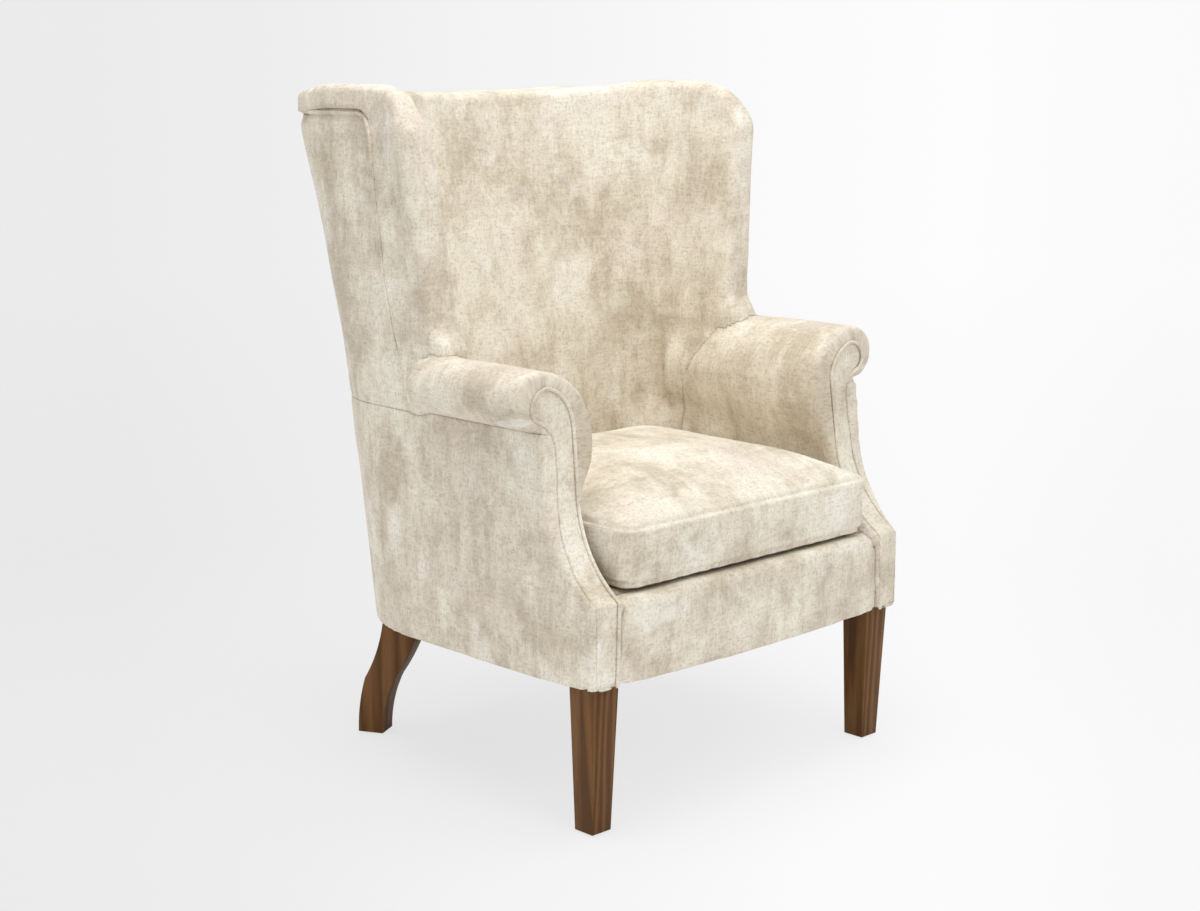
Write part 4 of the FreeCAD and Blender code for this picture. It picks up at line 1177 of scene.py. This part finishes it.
def path_object(name, paths, closed=False):
    """Curve object with one straight-run spline for each path."""
    curve = bpy.data.curves.new(name, "CURVE")
    curve.dimensions = "3D"
    for places in paths:
        spline = curve.splines.new("POLY")
        spline.points.add(len(places) - 1)
        spline.points.foreach_set("co", np.c_[places, np.ones(len(places))].ravel())
        spline.use_cyclic_u = closed
    return link(name, curve)


def grown(name, source, tree, **values):
    """Runs a node tree on an object and keeps the result as a plain mesh."""
    modifier = source.modifiers.new("grow", "NODES")
    modifier.node_group = tree
    for item in tree.interface.items_tree:
        if item.item_type == "SOCKET" and item.in_out == "INPUT" and item.name in values:
            modifier[item.identifier] = values[item.name]
    mesh = evaluated_mesh(source)
    discard(source)
    return link(name, mesh)


# Padding and other hidden soft pieces

stuffing_voxel = 0.007
stuffing_lumps = (0.0006, 0.022, 5.0)
wadding_shrink, wadding_fill = 0.006, 0.7
foam_shrink, foam_fill = 0.009, 0.8


def stuffing(name, node, slot, body, shrink, shape):
    """Wadding or foam under a cover, as one soft closed form a little inside its solid."""
    points, faces = voxel_form([node], stuffing_voxel)
    points = relaxed(points, edges_of(faces)[0], 3)
    points = shape(raised(points, ripples(points, stuffing_lumps) - shrink, normals_of(points, faces)))
    return dress(link(name, make_mesh(name, points, faces)), slot, body, [node])


# Chair: covers, welts and padding

wing_seam = [recess_foot, recess_mid, piping_foot]
wing_corner = [piping_foot, *arc_places(recess_high, recess_corner, recess_top), recess_end]


def set_back(points, normals, places):
    """Draws a cover in along a line, so that the cover beside it stands a little proud."""
    away, _ = distance_to(points, places)
    return raised(points, -panel_drop * bell(away, panel_drop_width), normals)


def build_covers():
    """Makes all fixed covers, and returns the skin that they were cut from."""
    points, faces, panel, names = body_skin()
    points = shape_skin(points, faces, panel, names)
    skin = BVHTree.FromPolygons(points.tolist(), faces.tolist())
    normals = normals_of(points, faces)
    for number, name in enumerate(names):
        kind, laid = kind_of(name), points
        if kind == "outside_wing":
            side = sides[name.rpartition("_")[2]]
            laid = set_back(points, normals, recess_path(side, skin, wing_seam))
        obj = cover_piece(name, laid, faces[panel == number])
        keep_grain(obj, arm_grain if kind == "arm_cover" else upright_grain)
        nodes = [node for node in skin_nodes[name] if not node.startswith("facing_welt")]
        dress(obj, "deck_cloth" if kind == "deck" else "cover_cloth", "chair", nodes)
    return skin


def build_welts(skin):
    tree = welt_tree()
    for label, side in sides.items():
        front = facing_path(side, -piping_inset, start=piping_start)
        front[:, 1] -= piping_ahead - piping_dive * np.exp(-np.arange(len(front)) / dive_points)
        corner = recess_path(side, skin, wing_corner)
        seam = recess_path(side, skin, wing_seam, lift=0.0003)
        for name, path, node, radius, count in (
                ("facing_piping_", front, "facing_welt_", welt_radius, 12),
                ("wing_piping_", corner, "wing_welt_", wing_welt_radius, 12),
                ("wing_seam_", seam, "wing_welt_", wing_seam_radius, 8)):
            obj = grown(name + label, path_object(name + label, [path]), tree, Radius=radius, Sides=count)
            dress(keep_grain(obj, upright_grain), "welt_cloth", "chair", [node + label])


build_welts(build_covers())
for name in ("back_wadding", "arm_wadding_left", "arm_wadding_right"):
    stuffing(name, name.replace("wadding", "padding"), "padding", "chair", wadding_shrink,
             thinned_arms)


# Seat cushion

cushion_voxel = 0.006
low_seam_z = 0.349
high_seam_z = 0.427
crown_share = 0.86
left_corner = 0.052
right_corner = 0.030
foam_inset = 0.010

# Filling: the form starts a little inside its solid and is held along its seams. No point
# moves further than the cap, or ends further past the solid than the outset
cushion_inset = 0.002
cushion_cap = 0.012
cushion_outset = 0.0015
cushion_frames = 20
cushion_pressure = 4.0
cushion_stiffness = 18.0
held_width = 0.006

# Seams, with a groove between two low lips, puckers along them and slow swells of the panels
groove_depth, groove_width = 0.0026, 0.0026
lip_height, lip_place, lip_width = 0.0012, 0.0065, 0.0032
cushion_puckers, pucker_reach = (0.0010, 0.013, 2.0), 0.016
cushion_swells = ((0.0018, 0.12, 8.0), (0.0006, 0.045, 4.0))
boxing_turn = (0.75, 0.95)

# Right front corner of the top seam: where it is, and how far it is drawn out
ear_place = 0.011
ear_width = 0.017
ear_pull = (0.00341, -0.004125, 0.0011)

# Opening for the zip: how far past its end it closes, its half height inside and outside the
# lips, and how deep the cloth lies there
zip_ends = (-0.001, 0.011)
zip_opening = (0.0058, 0.0110)
zip_depth = 0.0008

cushion_low, cushion_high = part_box("cushion_cover")
zip_low, zip_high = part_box("cushion_zip")
zip_z = (zip_low.z + zip_high.z) / 2


def swollen(obj, held):
    """Lets air pressure fill a closed cloth form; the held points stay in place."""
    group = obj.vertex_groups.new(name="held")
    group.add(np.flatnonzero(held).tolist(), 1.0, "REPLACE")
    cloth = obj.modifiers.new("cloth", "CLOTH")
    settings = {"quality": 5, "mass": 0.4, "tension_stiffness": cushion_stiffness,
                "compression_stiffness": cushion_stiffness, "shear_stiffness": cushion_stiffness / 2,
                "bending_stiffness": 0.6, "use_pressure": True,
                "uniform_pressure_force": cushion_pressure, "vertex_group_mass": "held",
                "pin_stiffness": 0.6}
    for key, value in settings.items():
        setattr(cloth.settings, key, value)
    cloth.settings.effector_weights.gravity = 0
    cloth.collision_settings.use_collision = False
    cloth.point_cache.frame_start = 1
    cloth.point_cache.frame_end = cushion_frames
    for number in range(1, cushion_frames + 1):
        scene.frame_set(number)
    graph = bpy.context.evaluated_depsgraph_get()
    moved = points_of(obj.evaluated_get(graph).data)
    obj.modifiers.clear()
    obj.vertex_groups.clear()
    scene.frame_set(1)
    return moved


def from_seams(points):
    """How far above or below the nearer seam of the cushion each point is."""
    return np.minimum(np.abs(points[:, 2] - low_seam_z), np.abs(points[:, 2] - high_seam_z))


def filled(points, faces):
    """The cushion's form after its filling has pressed the panels out."""
    obj = link("cushion_form", make_mesh("cushion_form", points, faces))
    moved = swollen(obj, (from_seams(points) < held_width) | (points[:, 2] < low_seam_z))
    discard(obj)
    move = moved - points
    length = np.linalg.norm(move, axis=1)
    return points + move * np.minimum(1, cushion_cap / np.maximum(length, 1e-9))[:, None]


def build_cushion():
    points, faces = voxel_form(["cushion_cover", "cushion_core", "cushion_zip"], cushion_voxel)
    edges, _ = edges_of(faces)
    points = relaxed(points, edges, 6)
    start = raised(points, np.full(len(points), -cushion_inset), normals_of(points, faces))
    start = filled(start, faces)
    form = BVHTree.FromPolygons(points.tolist(), faces.tolist())
    for i, point in enumerate(start):
        place, normal, _, _ = form.find_nearest(point)
        if (Vector(point) - place).dot(normal) > cushion_outset:
            start[i] = place + normal * cushion_outset
    start = relaxed(lived_in(start), edges, 2)
    obj = link("seat_cushion_cover", make_mesh("seat_cushion_cover", start, faces))
    finer = obj.modifiers.new("finer", "SUBSURF")
    finer.levels = finer.render_levels = 1
    mesh = applied(obj).data
    move_points(mesh, seam_cushion(points_of(mesh), quads_of(mesh)))
    return dress(keep_grain(obj, cushion_grain), "cover_cloth", "seat_cushion", ["cushion_cover"])


def lived_in(points, inset=0.0):
    """Lower crown and rounder front corners of the cushion than its solid has."""
    points = points.copy()
    points[:, 2] -= (1 - crown_share) * np.maximum(points[:, 2] - high_seam_z, 0)
    for side, edge, radius in ((-1, cushion_low.x, left_corner), (1, cushion_high.x, right_corner)):
        centre = np.array((edge - side * radius, cushion_low.y + radius))
        apart = points[:, :2] - centre
        out = (apart[:, 0] * side > 0) & (apart[:, 1] < 0)
        keep = np.minimum(1, (radius - inset) / np.maximum(np.linalg.norm(apart, axis=1), 1e-9))
        points[out, :2] = (centre + apart * keep[:, None])[out]
    return points


def eared(points):
    """Draws the right front corner of the top seam out into a small point."""
    corner = np.array((cushion_high.x - ear_place, cushion_low.y + ear_place, high_seam_z))
    near = bell(np.linalg.norm(points - corner, axis=1), ear_width)
    return points + near[:, None] * np.array(ear_pull)


def open_zip(points):
    """Draws the cover in along the zip, so that the tape lies between two lips of cloth."""
    along = 1 - smooth_step(np.abs(points[:, 0]), *np.add(zip_high.x, zip_ends))
    across = 1 - smooth_step(np.abs(points[:, 2] - zip_z), *zip_opening)
    proud = np.maximum(points[:, 1] - (zip_low.y - zip_depth), 0)
    return raised(points, -proud * along * across, np.array((0, 1, 0)))


def seam_cushion(points, faces):
    """Draws the seams in and gives the panels their small puckers and slow swells."""
    points = eared(points)
    normals = normals_of(points, faces)
    away = from_seams(points)
    aside = 1 - smooth_step(np.abs(normals[:, 2]), *boxing_turn)
    groove = groove_depth * bell(away, groove_width) - lip_height * bell(away - lip_place, lip_width)
    pucker = ripples(points * (1, 1, 0.25), cushion_puckers) * bell(away, pucker_reach)
    swell = ripples(points, *cushion_swells) * (points[:, 2] > low_seam_z)
    return open_zip(raised(points, pucker + swell - groove * aside, normals))


build_cushion()
stuffing("cushion_foam", "cushion_core", "foam", "seat_cushion", foam_shrink,
         lambda points: lived_in(points, foam_inset))


# Zip of the cushion

tooth_pitch = 0.0015
tooth_radius = 0.0005
tape_half = 0.0072
tape_thick = 0.0007
tape_step = 0.003
tape_wave = 0.00015
pull_start = 0.0052
pull_length = 0.0195

# Outline of the slider's plate, from its nose
slider_wedge = [(0.0, -0.0030), (0.0, 0.0030), (0.0035, 0.0041), (0.0095, 0.0044), (0.0110, 0.0030),
                (0.0098, 0.0012), (0.0098, -0.0012), (0.0110, -0.0030), (0.0095, -0.0044),
                (0.0035, -0.0041)]


def ribbon(name, length, y):
    """Upright woven tape with a slightly wavy face."""
    xs = np.linspace(-length, length, round(2 * length / tape_step) + 1)
    x, z = np.meshgrid(xs, np.linspace(zip_z - tape_half, zip_z + tape_half, 7))
    points = np.stack([x, y + tape_wave * np.sin(x * 190) * np.cos(z * 600), z], axis=-1).reshape(-1, 3)
    index = np.arange(x.size).reshape(x.shape)
    faces = np.stack([index[:-1, :-1], index[1:, :-1], index[1:, 1:], index[:-1, 1:]], axis=-1)
    return walled(link(name, make_mesh(name, points, faces.reshape(-1, 4))), tape_thick)


def round_box(x0, x1, z0, z1, radius, count=6):
    """Outline of a flat box with round corners."""
    corners = [(x1 - radius, z1 - radius, 0), (x0 + radius, z1 - radius, 1),
               (x0 + radius, z0 + radius, 2), (x1 - radius, z0 + radius, 3)]
    return [(x + radius * math.cos((quarter + i / count) * math.pi / 2),
             z + radius * math.sin((quarter + i / count) * math.pi / 2))
            for x, z, quarter in corners for i in range(count + 1)]


def stamped(outlines, thick, edge, place):
    """Flat metal shape with softened edges; outlines after the first are holes."""
    curve = bpy.data.curves.new("stamp", "CURVE")
    curve.dimensions, curve.fill_mode = "2D", "BOTH"
    curve.extrude, curve.bevel_depth, curve.bevel_resolution = thick / 2 - edge, edge, 2
    curve.offset = -edge
    for outline in outlines:
        spline = curve.splines.new("POLY")
        spline.points.add(len(outline) - 1)
        for point, (x, z) in zip(spline.points, outline):
            point.co = (x, z, 0, 1)
        spline.use_cyclic_u = True
    source = link("stamp", curve)
    mesh = evaluated_mesh(source)
    mesh.transform(Matrix.Translation(place) @ Matrix.Rotation(math.pi / 2, 4, "X"))
    discard(source)
    return mesh


def joined(name, meshes):
    """Several meshes as one object, facing outwards."""
    work = bmesh.new()
    for mesh in meshes:
        work.from_mesh(mesh)
        bpy.data.meshes.remove(mesh)
    bmesh.ops.remove_doubles(work, verts=work.verts, dist=1e-6)
    bmesh.ops.recalc_face_normals(work, faces=work.faces)
    made = as_mesh(work, name)
    shade_smooth(made, 40)
    return link(name, made)


def build_zip():
    length, y = zip_high.x - 0.001, zip_low.y
    tape = dress(ribbon("zip_tape", length, y + tape_thick), "zip_plastic", "seat_cushion", ["cushion_zip"])
    tape.data.materials[0] = plain_weave("zip_tape_weave", linear(176, 166, 146), linear(214, 206, 190),
                                         0.0011)
    tooth = rounded_bar("tooth", (0, 0, -0.0017), (0, 0, 0.0017), tooth_radius)
    tooth_y = y + tape_thick + tooth_radius * 1.1
    rows = [[(-length + shift, tooth_y, zip_z + rise), (length, tooth_y, zip_z + rise)]
            for shift, rise in ((0.0, -0.0011), (tooth_pitch / 2, 0.0011))]
    teeth = repeated("zip_coil", rows, "zip_plastic", tooth_pitch, tooth, wobble=0.03)
    dress(teeth, "zip_plastic", "seat_cushion", ["cushion_zip"])


def build_slider():
    low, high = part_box("zip_slider")
    end = pull_start + pull_length
    plate = stamped([slider_wedge], 0.0010, 0.0002, (low.x, low.y + 0.0006, zip_z))
    rims = [stamped([round_box(0.0028, 0.0096, -0.0005, 0.0005, 0.0004)], 0.0014, 0.0002,
                    (low.x, low.y + 0.0005, zip_z + rise)) for rise in (-0.0040, 0.0040)]
    bridge = stamped([round_box(0.0018, 0.0080, -0.0009, 0.0009, 0.0008)], 0.0013, 0.0003,
                     (low.x, low.y + 0.0017, zip_z))
    pull = [round_box(pull_start, end, -0.0027, 0.0027, 0.0022),
            round_box(pull_start + 0.0012, pull_start + 0.0048, -0.0012, 0.0012, 0.0011),
            round_box(pull_start + 0.0085, end - 0.0030, -0.0009, 0.0009, 0.0008)]
    pull = stamped(pull, 0.0010, 0.0003, (low.x, high.y - 0.0006, zip_z))
    whole = joined("zip_slider_pull", [plate, *rims, bridge, pull])
    dress(whole, "slider_metal", "zip_slider", ["zip_slider"])


build_zip()
build_slider()


# Dust cover under the seat, with its staples

dust_pitch = 0.018
dust_thick = 0.0007

# Sag and swells of the dust cover, and how far from its rim each is full
dust_sag, sag_reach = 0.0035, 0.16
dust_swell, swell_reach = (0.0009, 0.05, 1.0), 0.03
dust_rise = 0.0002

# Staples along the rim
staple_pitch = 0.034
staple_inset = 0.009
staple_half = 0.0052
staple_radius = 0.0005
staple_drop = 0.0012
staple_twist = 0.25


def welded(points, triangles):
    """Loose triangles joined at their corners, with flat neighbours made one face."""
    work = bmesh.new()
    made = {i: work.verts.new(points[i]) for i in np.unique(triangles)}
    for corners in triangles:
        work.faces.new([made[i] for i in corners])
    bmesh.ops.remove_doubles(work, verts=work.verts, dist=2e-6)
    bmesh.ops.dissolve_degenerate(work, edges=work.edges, dist=1e-6)
    bmesh.ops.dissolve_limit(work, angle_limit=math.radians(1), verts=work.verts, edges=work.edges)
    return work


def dust_outline():
    """The underside of the dust cover's solid as a flat mesh, and its rim as a loop of places."""
    points, triangles, _ = node_triangles(["dust_cover"])
    low = points[:, 2].min()
    work = welded(points, triangles[(points[triangles][:, :, 2] < low + 0.0003).all(axis=1)])
    edge = next(edge for edge in work.edges if edge.is_boundary)
    loop = [edge.verts[0]]
    while edge.other_vert(loop[-1]) is not loop[0]:
        loop.append(edge.other_vert(loop[-1]))
        edge = next(e for e in loop[-1].link_edges if e.is_boundary and e is not edge)
    return work, np.array([v.co for v in loop])


def cut_up(work, low, high, pitch):
    """Cuts a flat mesh into squares, and these into triangles."""
    for axis in (0, 1):
        normal = Vector((axis == 0, axis == 1, 0))
        for place in np.arange(low[axis] + pitch, high[axis], pitch):
            geometry = work.verts[:] + work.edges[:] + work.faces[:]
            bmesh.ops.bisect_plane(work, geom=geometry, dist=1e-6, plane_co=normal * place, plane_no=normal)
    bmesh.ops.triangulate(work, faces=work.faces)


def build_dust_cover():
    """Thin cloth that sags a little between the rails, and its staples."""
    work, loop = dust_outline()
    cut_up(work, loop.min(axis=0), loop.max(axis=0), dust_pitch)
    mesh = as_mesh(work, "seat_dust_cover")
    points = points_of(mesh)
    closed = np.vstack([loop, loop[:1]])
    away, _ = distance_to(points, even_line(closed, 0.01))
    drop = dust_sag * smooth_step(away, 0.0, sag_reach)
    drop = drop + ripples(points * (1, 1, 0), dust_swell) * smooth_step(away, 0.0, swell_reach)
    points[:, 2] -= np.maximum(drop, -dust_rise)
    move_points(mesh, points)
    shade_smooth(mesh)
    obj = walled(link("seat_dust_cover", mesh), dust_thick)
    dress(obj, "dust_cloth", "chair", ["dust_cover"])
    ring = even_line(closed, 0.012)[:-1]
    run = unit(np.roll(ring, -1, axis=0) - np.roll(ring, 1, axis=0))
    inwards = np.stack([-run[:, 1], run[:, 0], np.zeros(len(run))], axis=1)
    inwards *= np.sign((inwards * (ring.mean(axis=0) - ring)).sum(axis=1))[:, None]
    line = ring + staple_inset * inwards
    line[:, 2] = ring[:, 2] - staple_drop
    staple = rounded_bar("staple", (-staple_half, 0, 0), (staple_half, 0, 0), staple_radius)
    staples = repeated("dust_cover_staples", [line], "zinc_steel", staple_pitch, staple, True,
                       staple_twist)
    dress(staples, "zinc_steel", "chair")


build_dust_cover()


# Legs

leg_edge = 0.0012


def softened(name, node, slot, body):
    """A copy of a rigid node with its sharp edges rounded off."""
    points, triangles, _ = node_triangles([node])
    obj = link(name, as_mesh(welded(points, triangles), name))
    bevel = obj.modifiers.new("edges", "BEVEL")
    bevel.width, bevel.segments = leg_edge, 3
    bevel.limit_method, bevel.angle_limit = "ANGLE", math.radians(35)
    bevel.harden_normals = False
    shade_smooth(applied(obj).data, 40)
    return dress(obj, slot, body, [node])


for hand in sides:
    for leg in ("front_leg_", "rear_leg_"):
        softened(leg + "wood_" + hand, leg + hand, "leg_wood", "chair")


# Hidden frame, springs and fixings keep their solids

kept_finishes = {
    "frame_wood": ("arm_post", "arm_rail", "back_post", "crest_rail", "front_seat_rail", "lumbar_rail",
                   "rear_seat_rail", "seat_corner_blocks", "side_seat_rail", "wing_post", "wing_rail",
                   "frame_dowels"),
    "spring_steel": ("seat_springs",),
    "zinc_steel": ("spring_clips", "leg_bolts"),
    "glide_plastic": ("leg_glides",),
    "webbing": ("back_webbing",),
}
for slot, starts in kept_finishes.items():
    for name, node in frame["nodes"].items():
        if name.startswith(starts):
            node.data.materials.clear()
            node.data.materials.append(finishes[slot])


# Floor, light and camera

photo_width = 1200
focal_pixels = 2031.04
camera_place = (-2.1405, -2.2324, 1.0623)
camera_heading = 44.069
camera_pitch = 11.257


def build_camera():
    data = bpy.data.cameras.new("camera")
    data.sensor_fit = "HORIZONTAL"
    data.sensor_width = 36.0
    data.lens = data.sensor_width * focal_pixels / photo_width
    data.clip_start, data.clip_end = 0.05, 100.0
    camera = link("camera", data)
    camera.location = camera_place
    camera.rotation_euler = (math.radians(90 - camera_pitch), 0.0, math.radians(-camera_heading))
    scene.camera = camera


# Painted light falloff on the backdrop: its grey by the way one looks across the room, from its left end to
# its right
painted_backdrop_falloff = [(-0.236, 235), (-0.151, 238), (0.0, 246), (0.098, 251), (0.174, 253), (0.27, 250)]


def painted_backdrop_light(tree, place, seen_from=(0.0, 0.0, 0.0)):
    """Painted light falloff: pale grey on one side to near white on the other, by the way one looks across
    the room.
    """
    turn = math.radians(camera_heading)
    apart = vector_of(tree, "SUBTRACT", 0, place, seen_from)
    level = vector_of(tree, "MULTIPLY", 0, apart, (1.0, 1.0, 0.0))
    across = vector_of(tree, "DOT_PRODUCT", "Value", vector_of(tree, "NORMALIZE", 0, level),
                       (math.cos(turn), -math.sin(turn), 0.0))
    stops = [(side + 0.5, linear(tone, tone, tone + 0.5)) for side, tone in painted_backdrop_falloff]
    return ramp(tree, math_of(tree, "ADD", across, 0.5), stops)


# Floor: its half width, how its painted glow brightens away from the chair, so that it is a little darker
# near the chair as painted shade, and how its real shadow fades there under the glow;
# each of these two goes from one distance to another, and from one value to another
floor_half = 30.0
floor_glow = (0.8, 7.0, 0.972, 1.0)
shadow_fade = (0.45, 1.6, 0.82, 1.0)


def build_floor():
    """Floor that glows to the camera with the backdrop's painted light falloff, a little darker near the
    chair as painted shade, and takes a real shadow near the chair.
    """
    mesh = bpy.data.meshes.new("floor")
    corners = [(x * floor_half, y * floor_half, 0) for x, y in ((-1, -1), (1, -1), (1, 1), (-1, 1))]
    mesh.from_pydata(corners, [], [(0, 1, 2, 3)])
    finish, tree, place = new_finish("pale_floor")
    reach = vector_of(tree, "LENGTH", "Value", place)
    plain = add(tree, "ShaderNodeBsdfDiffuse", {"Color": linear(246, 246, 247)})
    # Painted light: the floor glows for the camera in the backdrop's painted tones, a little dimmer near the
    # chair as painted shade
    glow = add(tree, "ShaderNodeEmission", {"Color": painted_backdrop_light(tree, place, camera_place),
                                            "Strength": spread(tree, reach, *floor_glow)})
    seen = add(tree, "ShaderNodeLightPath").outputs["Is Camera Ray"]
    share = math_of(tree, "MULTIPLY", spread(tree, reach, *shadow_fade), seen)
    mix = add(tree, "ShaderNodeMixShader", {0: share, 1: plain.outputs[0], 2: glow.outputs[0]})
    add(tree, "ShaderNodeOutputMaterial", {"Surface": mix.outputs[0]})
    mesh.materials.append(finish)
    link("floor", mesh)


def build_world(strength=0.66):
    """Even white light, with the backdrop's painted light falloff where the camera or a reflection sees it.
    """
    world = bpy.data.worlds.new("studio")
    scene.world = world
    world.use_nodes = True
    tree = world.node_tree
    tree.nodes.clear()
    path = add(tree, "ShaderNodeLightPath").outputs
    direct = math_of(tree, "MAXIMUM", path["Is Camera Ray"], path["Is Glossy Ray"])
    direct = math_of(tree, "MAXIMUM", direct, path["Is Transmission Ray"])
    place = add(tree, "ShaderNodeTexCoord").outputs["Generated"]
    seen = add(tree, "ShaderNodeBackground", {"Color": painted_backdrop_light(tree, place), "Strength": 1.0})
    light = add(tree, "ShaderNodeBackground", {"Color": (1.0, 1.0, 1.0, 1.0), "Strength": strength})
    mix = add(tree, "ShaderNodeMixShader", {0: direct, 1: light.outputs[0], 2: seen.outputs[0]})
    add(tree, "ShaderNodeOutputWorld", {"Surface": mix.outputs[0]})


# Name, place, aim, size, power and colour of each lamp
lamps = [
    ("overhead", (-0.3, -0.2, 3.2), (0, 0, 0.5), (2.6, 2.6), 55.0, (1.0, 0.995, 0.98)),
    ("left_window", (-3.0, 0.2, 1.7), (0, 0, 0.6), (1.8, 2.2), 1.5, (1.0, 1.0, 1.0)),
    ("front_fill", (-0.7, -2.7, 2.6), (0, 0, 0.5), (2.0, 1.6), 17.0, (1.0, 1.0, 1.0)),
]


def build_lamp(name, place, aim, size, power, colour):
    data = bpy.data.lights.new(name, "AREA")
    data.shape = "RECTANGLE"
    data.size, data.size_y = size
    data.energy = power
    data.color = colour
    lamp = link(name, data)
    lamp.location = place
    lamp.rotation_euler = (Vector(aim) - Vector(place)).to_track_quat("-Z", "Y").to_euler()


build_camera()
build_floor()
build_world()
for lamp in lamps:
    build_lamp(*lamp)
scene.view_settings.view_transform = "Standard"
